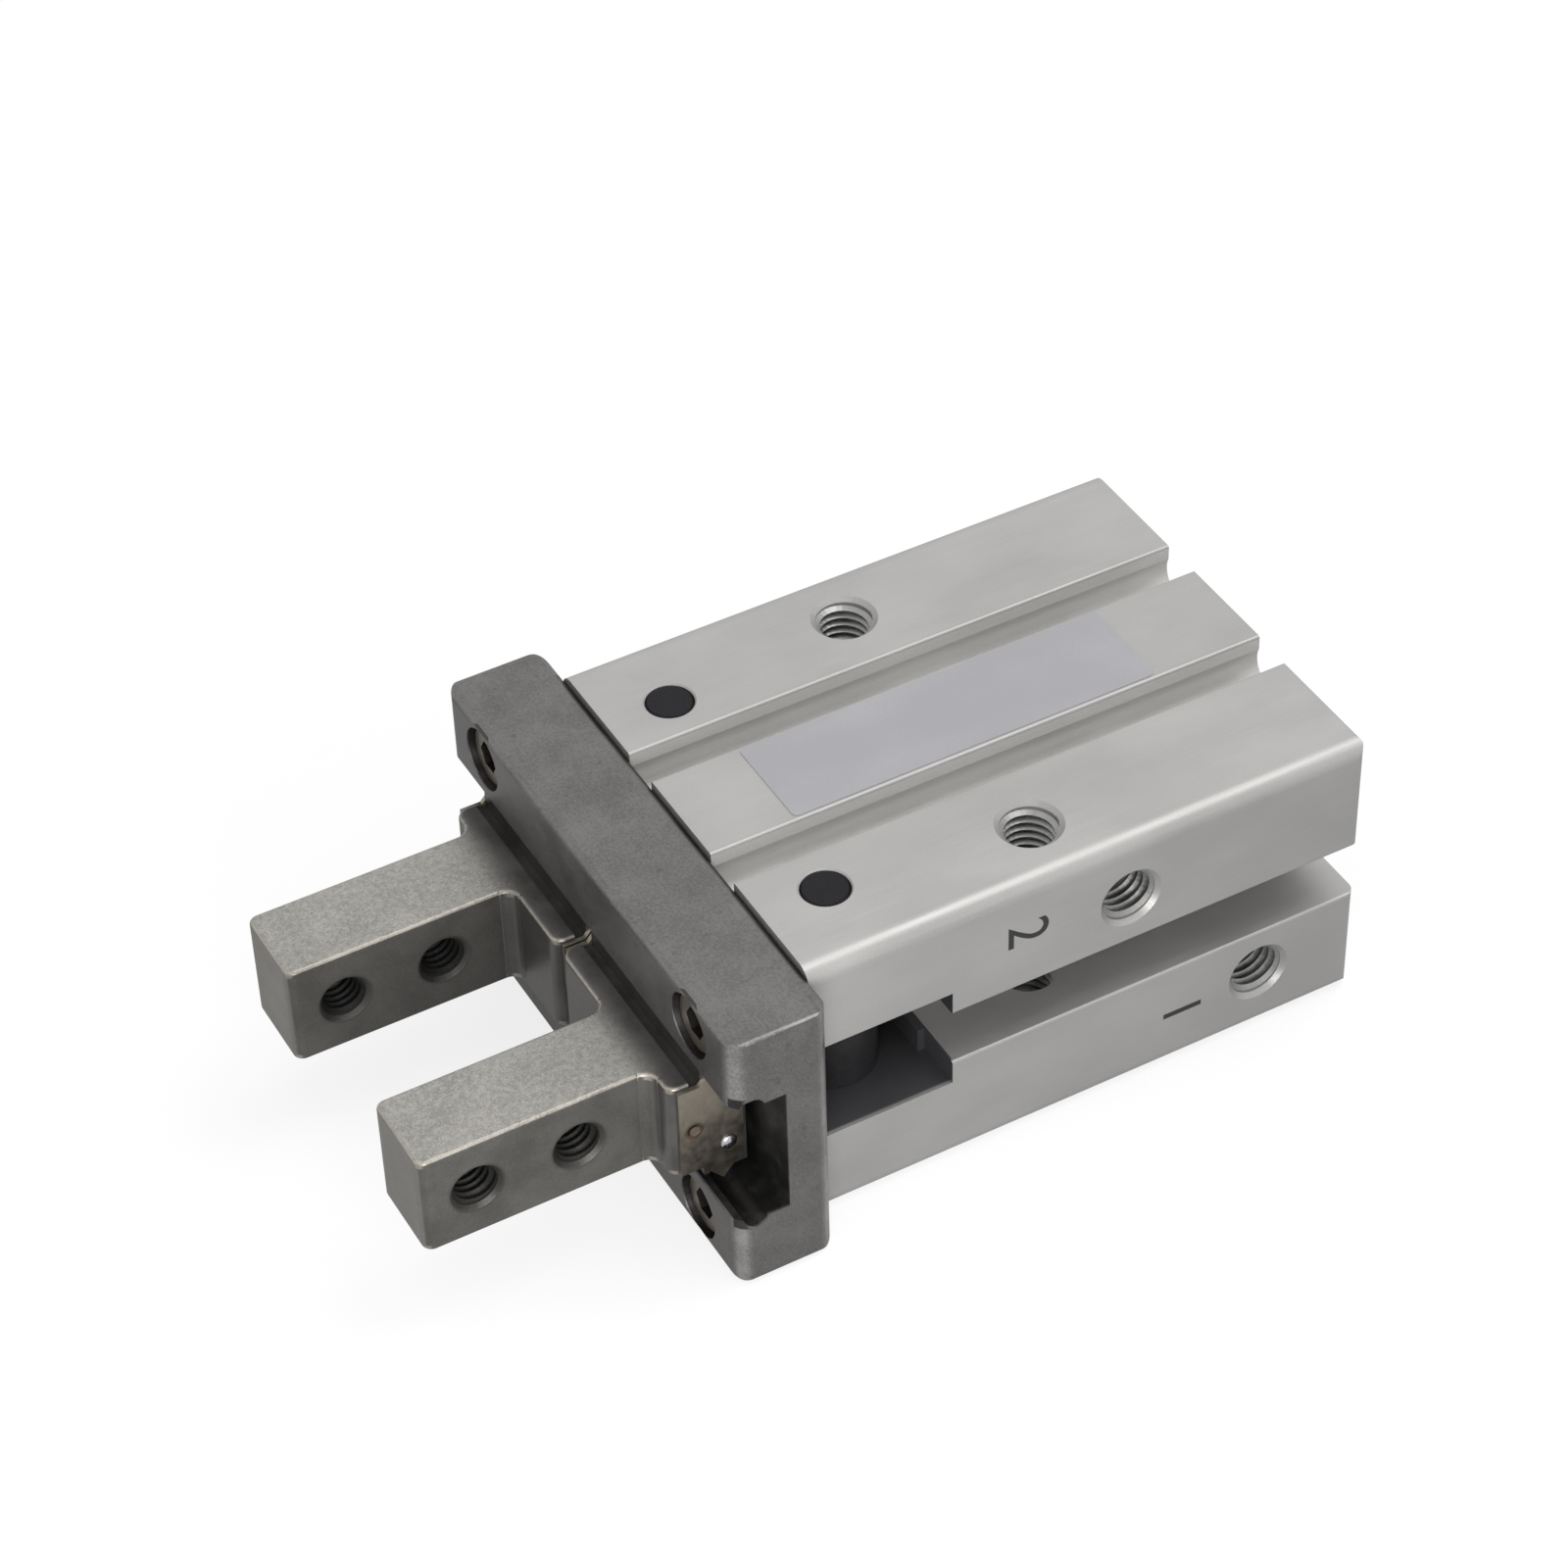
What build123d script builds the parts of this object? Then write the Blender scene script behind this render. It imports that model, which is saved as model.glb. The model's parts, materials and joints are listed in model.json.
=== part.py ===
from build123d import *
import os
from math import asin, cos, degrees, radians, sin, tan

# Two-finger pneumatic parallel gripper, 20 mm bore, fingers shut, all sizes in millimetres.
# The origin is the centre of the rear pilot bore, +X runs forward along the fingers,
# +Y points to the side with the two air ports, and +Z to the face with the sensor grooves.

# Clearances
press_gap = 0.01
running_gap = 0.03
slot_gap = 0.05
ball_gap = 0.05
side_gap = 0.1
soft_gap = 0.05

# Finger travel
finger_stroke = 5.0
jaw_gap = 16.3

# Housing
body_length = 52.6
body_width = 42.0
body_height = 27.6
body_edge_radius = 1.5
rear_corner_radius = 1.0
rear_edge = 0.4
mouth_edge_radius = 0.25
slot_height = 5.5
slot_web_thickness = 1.3
sensor_groove_pitch = 14.0
sensor_groove_mouth = 3.8
sensor_groove_diameter = 4.2
sensor_groove_drop = 2.3
lever_room_length = 12.4
lever_room_edge = 1.3
window_depth = 4.5
window_setback = 0.65

# Mounting holes, drawn at the thread's outer diameter
mount_hole_diameter = 5.0
mount_hole_mouth = 5.8
mount_hole_edge = 6.0
mount_hole_x = 28.8
rear_hole_diameter = 4.0
rear_hole_mouth = 4.7
rear_hole_edge_y = 6.0
rear_hole_edge_z = 5.5
rear_hole_depth = 7.0

# Air ports
port_diameter = 5.0
port_mouth = 5.8
port_depth = 4.5
port_edge = 6.3
open_port_setback = 1.0
shut_port_setback = 1.75
passage_diameter = 2.0

# Cylinder, from the rear face forward
cylinder_wall = 3.8
pilot_wall_gap = 0.5
pilot_depth = 3.0
ring_groove_width = 1.2
ring_groove_depth = 0.4
ring_thickness = 1.0
ring_width = 1.9
ring_opening = 4.0
ring_lug_diameter = 3.4
ring_eye_diameter = 1.4
cap_thickness = 4.4
cap_recess_diameter = 13.0
cap_recess_depth = 0.8
gasket_wire = 1.5
gasket_setback = 1.2
bumper_thickness = 1.5
rear_bumper_diameter = 10.0
rear_bumper_stem = 4.0
rear_bumper_stem_depth = 1.5
front_bumper_edge = 1.5
front_bumper_width = 2.7
stop_gap = 0.1

# Piston and rod
piston_length = 7.7
seal_width = 2.2
seal_depth = 2.1
seal_setback = 1.3
magnet_width = 2.4
magnet_depth = 2.2
magnet_setback = 1.2
spigot_diameter = 5.0
rivet_head_diameter = 7.0
rod_nose = 2.7
clevis_depth = 3.6
rod_pin_diameter = 3.0
rod_pin_gap = 0.4
gland_wall = 2.5
rod_seal_width = 2.6
retainer_thickness = 1.3

# Levers
lever_pivot_setback = 6.0
lever_pivot_edge = 7.9
lever_boss_diameter = 8.0
lever_arm_thickness = 5.8
lever_arm_width = 3.6
lever_head_diameter = 5.0
lever_head_setback = 1.8
lever_eye_rim = 1.4
shaft_diameter = 4.2
shaft_mouth = 4.5
shaft_recess = 0.05

# Guide across the front
guide_thickness = 9.2
guide_overhang = 4.0
guide_top_gap = 0.3
guide_back_corner = 2.2
guide_front_corner = 0.9
guide_end_edge = 0.45
guide_back_radius = 0.9
guide_lip_radius = 0.7
lip_height = 7.1
channel_depth = 4.8
race_setback = 1.8
race_sink = 0.25
ball_diameter = 2.0
balls_in_row = 7
screw_edge_y = 2.9
screw_edge_z = 3.45
screw_diameter = 3.0
screw_head_diameter = 5.5
screw_head_height = 3.0
screw_head_sink = 0.6
screw_grip = 7.0
screw_socket = 2.5
screw_socket_depth = 1.6
counterbore_diameter = 5.7

# Fingers
finger_reach = 23.0
root_reach = 2.6
slider_side_gap = 0.4
slider_width = 18.5
slider_back_gap = 0.6
relief_back_setback = 0.3
relief_width = 1.0
relief_depth = 0.6
root_corner_radius = 1.1
root_fillet = 1.2
arm_width = 8.0
arm_shoulder_depth = 1.0
arm_edge = 0.35
tip_corner_radius = 0.9
pad_hole_diameter = 4.0
pad_hole_mouth = 4.7
pad_hole_pitch = 9.0
pad_hole_setback = 4.8
stopper_thickness = 0.4
stopper_length = 5.7
stopper_edge_gap = 1.4
stopper_corner = 1.2
stopper_front_gap = 0.7
stopper_lug_width = 3.6
rivet_diameter = 1.5
rivet_pitch = 5.6
rivet_setback = 1.4
rivet_length = 1.9

# Bare name sticker on the top face
sticker_length = 34.6
sticker_width = 9.4
sticker_thickness = 0.06
sticker_x = 27.4

# Sizes and places that follow from the ones above
body_top = body_height / 2
body_side = body_width / 2
mount_hole_pitch = body_width - 2 * mount_hole_edge
rear_hole_pitch_y = body_width - 2 * rear_hole_edge_y
rear_hole_pitch_z = body_height - 2 * rear_hole_edge_z
port_height = body_top - port_edge
bore_diameter = body_height - 2 * cylinder_wall
pilot_diameter = bore_diameter + 2 * pilot_wall_gap
ring_groove_diameter = pilot_diameter + 2 * ring_groove_depth
slot_floor_y = ring_groove_diameter / 2 + slot_web_thickness
slot_depth = body_side - slot_floor_y
rod_diameter = bore_diameter / 2
rod_pin_length = rod_diameter - 2 * rod_pin_gap
front_bumper_outer = bore_diameter - 2 * front_bumper_edge
front_bumper_inner = front_bumper_outer - 2 * front_bumper_width
gland_diameter = bore_diameter - 2 * gland_wall
guide_width = body_width + 2 * guide_overhang
guide_height = body_height - 2 * guide_top_gap
channel_height = guide_height - 2 * lip_height
race_height = channel_height - 2 * race_sink
lever_room_height = channel_height - 2 * lever_room_edge
screw_pitch_y = body_width - 2 * screw_edge_y
screw_pitch_z = body_height - 2 * screw_edge_z
slider_height = channel_height - 2 * slider_side_gap
arm_height = slider_height - 2 * arm_shoulder_depth
stopper_height = slider_height - 2 * stopper_edge_gap
lever_pivot_y = body_side - lever_pivot_edge
room_back_x = body_length - lever_room_length
guide_front_x = body_length + guide_thickness
channel_back_x = guide_front_x - channel_depth
race_x = guide_front_x - race_setback
race_radius = ball_diameter / 2 + ball_gap
pivot_x = body_length - lever_pivot_setback
lever_reach = guide_front_x - lever_head_setback - pivot_x
half_swing = degrees(asin(finger_stroke / 2 / lever_reach))
half_stroke = lever_pivot_y * tan(radians(half_swing))
pin_x = pivot_x - half_stroke
ring_groove_x = pilot_depth
cap_back_x = ring_groove_x + ring_groove_width
cap_front_x = cap_back_x + cap_thickness
piston_back_x = cap_front_x + bumper_thickness + stop_gap
piston_front_x = piston_back_x + piston_length
chamber_front_x = piston_front_x + 2 * half_stroke + stop_gap + bumper_thickness
gland_front_x = chamber_front_x + retainer_thickness + rod_seal_width + stop_gap
slider_back_x = channel_back_x + slider_back_gap
relief_back_x = guide_front_x - relief_back_setback
root_back_x = relief_back_x + relief_width
root_front_x = guide_front_x + root_reach
finger_tip_x = guide_front_x + finger_reach
slider_inner_y = stopper_thickness + side_gap
slider_outer_y = slider_inner_y + slider_width
arm_inner_y = jaw_gap / 2
arm_centre_y = arm_inner_y + arm_width / 2
finger_slot_y = lever_pivot_y - finger_stroke / 2
shaft_radius = shaft_diameter / 2
shaft_hole_radius = shaft_radius + press_gap


def outward(x, y, z, direction):
    """Plane on a face of the part, with its normal pointing out of that face."""
    return Plane(origin=(x, y, z), z_dir=direction)


def drill(x, y, z, direction, diameter, mouth, depth=None):
    """Hole with a 90 degree countersunk mouth, sunk into the part under work."""
    with Locations(outward(x, y, z, direction)):
        CounterSinkHole(diameter / 2, mouth / 2, depth, 90)


def finish(piece, name):
    """Name a finished piece and write its file."""
    piece.part.label = name
    export_step(piece.part, f"parts/{name}.step")


os.makedirs("parts", exist_ok=True)

# Housing, an extruded aluminium section with rounded rear corners
with BuildPart() as body:
    with BuildSketch(Plane.XY.offset(-body_top)) as outline:
        Rectangle(body_length, body_width, align=(Align.MIN, Align.CENTER))
        fillet(outline.vertices().group_by(Axis.X)[0], rear_corner_radius)
    extrude(amount=body_height)
    with BuildSketch(Plane.XZ.offset(-body_side)) as profile:
        Rectangle(body_length, body_height, align=(Align.MIN, Align.CENTER))
        fillet(profile.vertices().group_by(Axis.X)[0], rear_edge)
    extrude(amount=body_width, mode=Mode.INTERSECT)
    with BuildSketch(Plane.YZ) as section:
        Rectangle(body_width, body_height)
        fillet(section.vertices(), body_edge_radius)
        with Locations((-body_side, 0), (body_side, 0)):
            Rectangle(2 * slot_depth, slot_height, mode=Mode.SUBTRACT)
        for level in (-1, 1):
            groove_z = level * (body_top - sensor_groove_drop)
            with Locations((-sensor_groove_pitch / 2, groove_z), (sensor_groove_pitch / 2, groove_z)):
                Circle(sensor_groove_diameter / 2, mode=Mode.SUBTRACT)
            with Locations((-sensor_groove_pitch / 2, level * body_top), (sensor_groove_pitch / 2, level * body_top)):
                Rectangle(sensor_groove_mouth, 2 * sensor_groove_drop, mode=Mode.SUBTRACT)
        slot_corners = section.vertices().filter_by(
            lambda corner: abs(abs(corner.X) - body_side) < press_gap and abs(corner.Y) < slot_height
        )
        groove_corners = section.vertices().filter_by(
            lambda corner: abs(abs(corner.Y) - body_top) < press_gap and abs(corner.X) < sensor_groove_pitch
        )
        fillet(slot_corners + groove_corners, mouth_edge_radius)
    extrude(amount=body_length, mode=Mode.INTERSECT)
    # The stepped cylinder, turned from the rear
    with BuildSketch(Plane.XZ):
        with BuildLine():
            Polyline(
                (0, 0),
                (0, pilot_diameter / 2),
                (ring_groove_x, pilot_diameter / 2),
                (ring_groove_x, ring_groove_diameter / 2),
                (cap_back_x, ring_groove_diameter / 2),
                (cap_back_x, pilot_diameter / 2),
                (cap_front_x, pilot_diameter / 2),
                (cap_front_x, bore_diameter / 2),
                (chamber_front_x, bore_diameter / 2),
                (chamber_front_x, gland_diameter / 2),
                (gland_front_x, gland_diameter / 2),
                (gland_front_x, rod_diameter / 2 + running_gap),
                (room_back_x, rod_diameter / 2 + running_gap),
                (room_back_x, 0),
                close=True,
            )
        make_face()
    revolve(axis=Axis.X, mode=Mode.SUBTRACT)
    # The lever room, open at the front and through both sides
    with BuildSketch(Plane.XY.offset(-lever_room_height / 2)):
        with Locations((room_back_x, 0)):
            Rectangle(lever_room_length, body_width, align=(Align.MIN, Align.CENTER))
        with Locations((room_back_x - window_setback, -body_side), (room_back_x - window_setback, body_side)):
            Rectangle(lever_room_length + window_setback, 2 * window_depth, align=(Align.MIN, Align.CENTER))
    extrude(amount=lever_room_height, mode=Mode.SUBTRACT)
    for side in (-1, 1):
        for level in (-1, 1):
            face_z = level * body_top
            drill(pivot_x, side * lever_pivot_y, face_z, (0, 0, level), 2 * shaft_hole_radius, shaft_mouth)
            drill(mount_hole_x, side * mount_hole_pitch / 2, face_z, (0, 0, level), mount_hole_diameter, mount_hole_mouth)
            rear_y = side * rear_hole_pitch_y / 2
            rear_z = level * rear_hole_pitch_z / 2
            drill(0, rear_y, rear_z, (-1, 0, 0), rear_hole_diameter, rear_hole_mouth, rear_hole_depth)
            with Locations(outward(body_length, side * screw_pitch_y / 2, level * screw_pitch_z / 2, (1, 0, 0))):
                Hole(screw_diameter / 2 + press_gap, screw_grip + stop_gap)
    for port_x, port_z in (
        (cap_front_x + open_port_setback, -port_height),
        (chamber_front_x - shut_port_setback, port_height),
    ):
        drill(port_x, body_side, port_z, (0, 1, 0), port_diameter, port_mouth, port_depth)
        with Locations(outward(port_x, body_side, port_z, (0, 1, 0))):
            Hole(passage_diameter / 2, body_side)
finish(body, "body")

# Lever shafts, pressed into the housing from top to bottom
for side_name, side in (("left", 1), ("right", -1)):
    with BuildPart() as lever_shaft:
        with BuildSketch(Plane.XY.offset(shaft_recess - body_top)):
            with Locations((pivot_x, side * lever_pivot_y)):
                Circle(shaft_radius)
        extrude(amount=body_height - 2 * shaft_recess)
        chamfer(lever_shaft.edges().filter_by(GeomType.CIRCLE), mouth_edge_radius)
    finish(lever_shaft, f"lever_shaft_{side_name}")

# End cap with its gasket groove and a turned recess
gasket_x = cap_front_x - gasket_setback - gasket_wire / 2
gasket_outer = pilot_diameter / 2 - soft_gap
with BuildPart() as end_cap:
    with BuildSketch(Plane.XZ):
        with BuildLine():
            Polyline(
                (cap_back_x + cap_recess_depth, 0),
                (cap_back_x + cap_recess_depth, cap_recess_diameter / 2),
                (cap_back_x, cap_recess_diameter / 2),
                (cap_back_x, pilot_diameter / 2 - running_gap),
                (gasket_x - gasket_wire / 2 - soft_gap, pilot_diameter / 2 - running_gap),
                (gasket_x - gasket_wire / 2 - soft_gap, gasket_outer - gasket_wire - soft_gap),
                (gasket_x + gasket_wire / 2 + soft_gap, gasket_outer - gasket_wire - soft_gap),
                (gasket_x + gasket_wire / 2 + soft_gap, pilot_diameter / 2 - running_gap),
                (cap_front_x, pilot_diameter / 2 - running_gap),
                (cap_front_x, rear_bumper_stem / 2),
                (cap_front_x - rear_bumper_stem_depth, rear_bumper_stem / 2),
                (cap_front_x - rear_bumper_stem_depth, 0),
                close=True,
            )
        make_face()
    revolve(axis=Axis.X)
finish(end_cap, "end_cap")

with BuildPart() as cap_gasket:
    with BuildSketch(Plane.XZ):
        with Locations((gasket_x, gasket_outer - gasket_wire / 2)):
            Circle(gasket_wire / 2)
    revolve(axis=Axis.X)
finish(cap_gasket, "cap_gasket")

# Retaining ring, open at the top, with an eye in each end for the pliers
ring_outer = ring_groove_diameter / 2 - press_gap
with BuildPart() as retaining_ring:
    with BuildSketch(Plane.YZ.offset(cap_back_x - ring_thickness)):
        Circle(ring_outer)
        Circle(ring_outer - ring_width, mode=Mode.SUBTRACT)
        lug_y = ring_opening / 2 + ring_lug_diameter / 2
        lug_z = ring_outer - ring_width
        with Locations((-lug_y, lug_z - ring_lug_diameter / 4), (lug_y, lug_z - ring_lug_diameter / 4)):
            Circle(ring_lug_diameter / 2)
        with Locations((0, ring_outer)):
            Rectangle(ring_opening, 4 * ring_width, mode=Mode.SUBTRACT)
        with Locations((-lug_y, lug_z - ring_lug_diameter / 4), (lug_y, lug_z - ring_lug_diameter / 4)):
            Circle(ring_eye_diameter / 2, mode=Mode.SUBTRACT)
    extrude(amount=ring_thickness)
finish(retaining_ring, "retaining_ring")

# Rubber bumpers at both ends of the stroke
with BuildPart() as rear_bumper:
    with BuildSketch(Plane.YZ.offset(cap_front_x)):
        Circle(rear_bumper_diameter / 2)
    extrude(amount=bumper_thickness)
    chamfer(rear_bumper.edges().group_by(Axis.X)[-1], mouth_edge_radius)
    with BuildSketch(Plane.YZ.offset(cap_front_x)):
        Circle(rear_bumper_stem / 2 - soft_gap)
    extrude(amount=soft_gap - rear_bumper_stem_depth)
finish(rear_bumper, "rear_bumper")

with BuildPart() as front_bumper:
    with BuildSketch(Plane.YZ.offset(chamber_front_x)):
        Circle(front_bumper_outer / 2)
        Circle(front_bumper_inner / 2, mode=Mode.SUBTRACT)
    extrude(amount=-bumper_thickness)
    chamfer(front_bumper.edges().group_by(Axis.X)[0], mouth_edge_radius)
finish(front_bumper, "front_bumper")

# Rod seal and the washer that keeps it in the gland
with BuildPart() as seal_retainer:
    with BuildSketch(Plane.YZ.offset(chamber_front_x)):
        Circle(gland_diameter / 2 - press_gap)
        Circle(rod_diameter / 2 + side_gap, mode=Mode.SUBTRACT)
    extrude(amount=retainer_thickness)
finish(seal_retainer, "seal_retainer")

with BuildPart() as rod_seal:
    with BuildSketch(Plane.YZ.offset(chamber_front_x + retainer_thickness)):
        Circle(gland_diameter / 2 - soft_gap)
        Circle(rod_diameter / 2 + running_gap, mode=Mode.SUBTRACT)
    extrude(amount=rod_seal_width)
finish(rod_seal, "rod_seal")

# Piston with a seal groove in front and a magnet groove behind
piston_radius = bore_diameter / 2 - soft_gap
seal_front_x = piston_front_x - seal_setback
magnet_back_x = piston_back_x + magnet_setback
rivet_sink = (rivet_head_diameter - spigot_diameter) / 2
with BuildPart() as piston:
    with BuildSketch(Plane.XZ):
        with BuildLine():
            Polyline(
                (piston_back_x, rivet_head_diameter / 2 + press_gap),
                (piston_back_x, piston_radius),
                (magnet_back_x, piston_radius),
                (magnet_back_x, piston_radius - magnet_depth),
                (magnet_back_x + magnet_width, piston_radius - magnet_depth),
                (magnet_back_x + magnet_width, piston_radius),
                (seal_front_x - seal_width, piston_radius),
                (seal_front_x - seal_width, piston_radius - seal_depth),
                (seal_front_x, piston_radius - seal_depth),
                (seal_front_x, piston_radius),
                (piston_front_x, piston_radius),
                (piston_front_x, spigot_diameter / 2 + press_gap),
                (piston_back_x + rivet_sink, spigot_diameter / 2 + press_gap),
                close=True,
            )
        make_face()
    revolve(axis=Axis.X)
finish(piston, "piston")

with BuildPart() as piston_seal:
    with BuildSketch(Plane.YZ.offset(seal_front_x - seal_width + soft_gap)):
        Circle(bore_diameter / 2 - running_gap)
        Circle(piston_radius - seal_depth + running_gap, mode=Mode.SUBTRACT)
    extrude(amount=seal_width - 2 * soft_gap)
    rims = piston_seal.edges().filter_by(GeomType.CIRCLE)
    chamfer(rims.filter_by(lambda rim: rim.radius > piston_radius), mouth_edge_radius)
finish(piston_seal, "piston_seal")

with BuildPart() as magnet_ring:
    with BuildSketch(Plane.YZ.offset(magnet_back_x + soft_gap)):
        Circle(piston_radius - side_gap)
        Circle(piston_radius - magnet_depth + running_gap, mode=Mode.SUBTRACT)
    extrude(amount=magnet_width - 2 * soft_gap)
finish(magnet_ring, "magnet_ring")

# Piston rod, riveted behind the piston and forked in front for the two levers
rod_front_x = pin_x + rod_nose
clevis_height = lever_arm_thickness + 2 * side_gap
with BuildPart() as piston_rod:
    with BuildSketch(Plane.XZ):
        with BuildLine():
            Polyline(
                (piston_back_x, 0),
                (piston_back_x, rivet_head_diameter / 2),
                (piston_back_x + rivet_sink, spigot_diameter / 2),
                (piston_front_x, spigot_diameter / 2),
                (piston_front_x, rod_diameter / 2),
                (rod_front_x, rod_diameter / 2),
                (rod_front_x, 0),
                close=True,
            )
        make_face()
    revolve(axis=Axis.X)
    chamfer(piston_rod.edges().group_by(Axis.X)[-1], mouth_edge_radius)
    with BuildSketch(Plane.XY.offset(-clevis_height / 2)):
        with Locations((pin_x - clevis_depth, 0)):
            Rectangle(clevis_depth + rod_nose, rod_diameter, align=(Align.MIN, Align.CENTER))
    extrude(amount=clevis_height, mode=Mode.SUBTRACT)
    with Locations((pin_x, 0, rod_diameter / 2)):
        Hole(rod_pin_diameter / 2 + press_gap)
finish(piston_rod, "piston_rod")

with BuildPart() as rod_pin:
    with BuildSketch(Plane.XY.offset(-rod_pin_length / 2)):
        with Locations((pin_x, 0)):
            Circle(rod_pin_diameter / 2)
    extrude(amount=rod_pin_length)
    chamfer(rod_pin.edges().filter_by(GeomType.CIRCLE), mouth_edge_radius)
finish(rod_pin, "rod_pin")

# Bell-crank levers: a round head drives the finger, an eye rides on the rod pin.
# The inner arms are half as thick and lie one over the other in the rod's fork.
inner_reach = lever_pivot_y * (1 + 1 / cos(radians(half_swing))) / 2
eye_travel = lever_pivot_y * (1 / cos(radians(half_swing)) - 1)
eye_width = rod_pin_diameter + 2 * slot_gap
eye_length = eye_width + eye_travel + 4 * slot_gap
eye_radius = eye_width / 2 + lever_eye_rim
arm_half = lever_arm_thickness / 2


def lever_plane(side, height):
    """Plane at a lever's pivot, with its x along the drive arm of the shut gripper."""
    swing = -side * radians(half_swing)
    return Plane(
        origin=(pivot_x, side * lever_pivot_y, height),
        x_dir=(cos(swing), sin(swing), 0),
        z_dir=(0, 0, 1),
    )


def build_lever(side):
    """One lever; the left one carries its inner arm above the right one's."""
    inner_bottom = running_gap if side > 0 else -arm_half
    with BuildPart() as lever:
        with BuildSketch(lever_plane(side, side_gap - lever_room_height / 2)):
            Circle(lever_boss_diameter / 2)
        extrude(amount=lever_room_height - 2 * side_gap)
        with BuildSketch(lever_plane(side, -arm_half)):
            Rectangle(lever_reach, lever_arm_width, align=(Align.MIN, Align.CENTER))
            with Locations((lever_reach, 0)):
                Circle(lever_head_diameter / 2)
        extrude(amount=2 * arm_half)
        with BuildSketch(lever_plane(side, inner_bottom)):
            with Locations((0, -side * inner_reach / 2)):
                Rectangle(lever_arm_width, inner_reach)
            with Locations((0, -side * inner_reach)):
                SlotOverall(eye_travel + 2 * eye_radius, 2 * eye_radius, rotation=90)
        extrude(amount=arm_half - running_gap)
        with BuildSketch(lever_plane(side, -body_top)):
            Circle(shaft_radius + running_gap)
            with Locations((0, -side * inner_reach)):
                SlotOverall(eye_length, eye_width, rotation=90)
        extrude(amount=body_height, mode=Mode.SUBTRACT)
    return lever


lever_left = build_lever(1)
lever_right = build_lever(-1)
finish(lever_left, "lever_left")
finish(lever_right, "lever_right")

# Guide: a steel channel across the front, with a ball race in each lip
window_reach = (channel_back_x - pivot_x) * tan(radians(half_swing)) + lever_arm_width / 2 + 4 * side_gap
window_height = lever_arm_thickness + 8 * side_gap
with BuildPart() as guide:
    with BuildSketch(Plane.XY.offset(-guide_height / 2)) as plan:
        with Locations((body_length, 0)):
            Rectangle(guide_thickness, guide_width, align=(Align.MIN, Align.CENTER))
        fillet(plan.vertices().group_by(Axis.X)[0], guide_back_corner)
        fillet(plan.vertices().group_by(Axis.X)[-1], guide_front_corner)
    extrude(amount=guide_height)
    with BuildSketch(Plane.YZ.offset(body_length)):
        RectangleRounded(guide_width, guide_height, guide_end_edge)
    extrude(amount=guide_thickness, mode=Mode.INTERSECT)
    with BuildSketch(Plane.XZ.offset(-guide_width / 2)) as channel:
        with Locations((body_length, 0)):
            Rectangle(guide_thickness, guide_height, align=(Align.MIN, Align.CENTER))
        fillet(channel.vertices().group_by(Axis.X)[0], guide_back_radius)
        fillet(channel.vertices().group_by(Axis.X)[-1], guide_lip_radius)
        with Locations((channel_back_x, 0)):
            Rectangle(channel_depth, channel_height, align=(Align.MIN, Align.CENTER), mode=Mode.SUBTRACT)
        lip_corners = channel.vertices().group_by(Axis.X)[-1].filter_by(
            lambda corner: abs(corner.Y) < channel_height / 2 + press_gap
        )
        fillet(lip_corners, mouth_edge_radius)
        with Locations((race_x, -race_height / 2), (race_x, race_height / 2)):
            Circle(race_radius, mode=Mode.SUBTRACT)
    extrude(amount=guide_width, mode=Mode.INTERSECT)
    for side in (-1, 1):
        with BuildSketch(Plane.YZ.offset(body_length)):
            with Locations((side * lever_pivot_y, 0)):
                Rectangle(2 * window_reach, window_height)
        extrude(amount=guide_thickness - channel_depth, mode=Mode.SUBTRACT)
        for level in (-1, 1):
            with Locations(outward(guide_front_x, side * screw_pitch_y / 2, level * screw_pitch_z / 2, (1, 0, 0))):
                CounterBoreHole(
                    screw_diameter / 2 + side_gap,
                    counterbore_diameter / 2,
                    screw_head_height + screw_head_sink,
                    guide_thickness,
                )
finish(guide, "guide")

# Four socket head screws that hold the guide to the housing
head_front_x = guide_front_x - screw_head_sink
head_back_x = head_front_x - screw_head_height
with BuildPart() as guide_screws:
    with BuildSketch(Plane.YZ.offset(head_back_x)):
        with GridLocations(screw_pitch_y, screw_pitch_z, 2, 2):
            Circle(screw_head_diameter / 2)
    extrude(amount=screw_head_height)
    chamfer(guide_screws.edges().group_by(Axis.X)[-1], mouth_edge_radius)
    with BuildSketch(Plane.YZ.offset(body_length - screw_grip)):
        with GridLocations(screw_pitch_y, screw_pitch_z, 2, 2):
            Circle(screw_diameter / 2)
    extrude(amount=head_back_x - body_length + screw_grip)
    with BuildSketch(Plane.YZ.offset(head_front_x)):
        with GridLocations(screw_pitch_y, screw_pitch_z, 2, 2):
            RegularPolygon(screw_socket / 2, 6, major_radius=False)
    extrude(amount=-screw_socket_depth, mode=Mode.SUBTRACT)
finish(guide_screws, "guide_screws")

# Fingers: a slider block that runs in the guide, and an arm with two tapped holes
finger_slot_width = lever_head_diameter + 2 * slot_gap
finger_slot_height = lever_arm_thickness + 4 * side_gap
finger_slot_front_x = pivot_x + lever_reach + lever_head_diameter / 2 + side_gap
stopper_back_x = root_front_x - stopper_front_gap - stopper_length
rivet_x = stopper_back_x + rivet_setback


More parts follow.
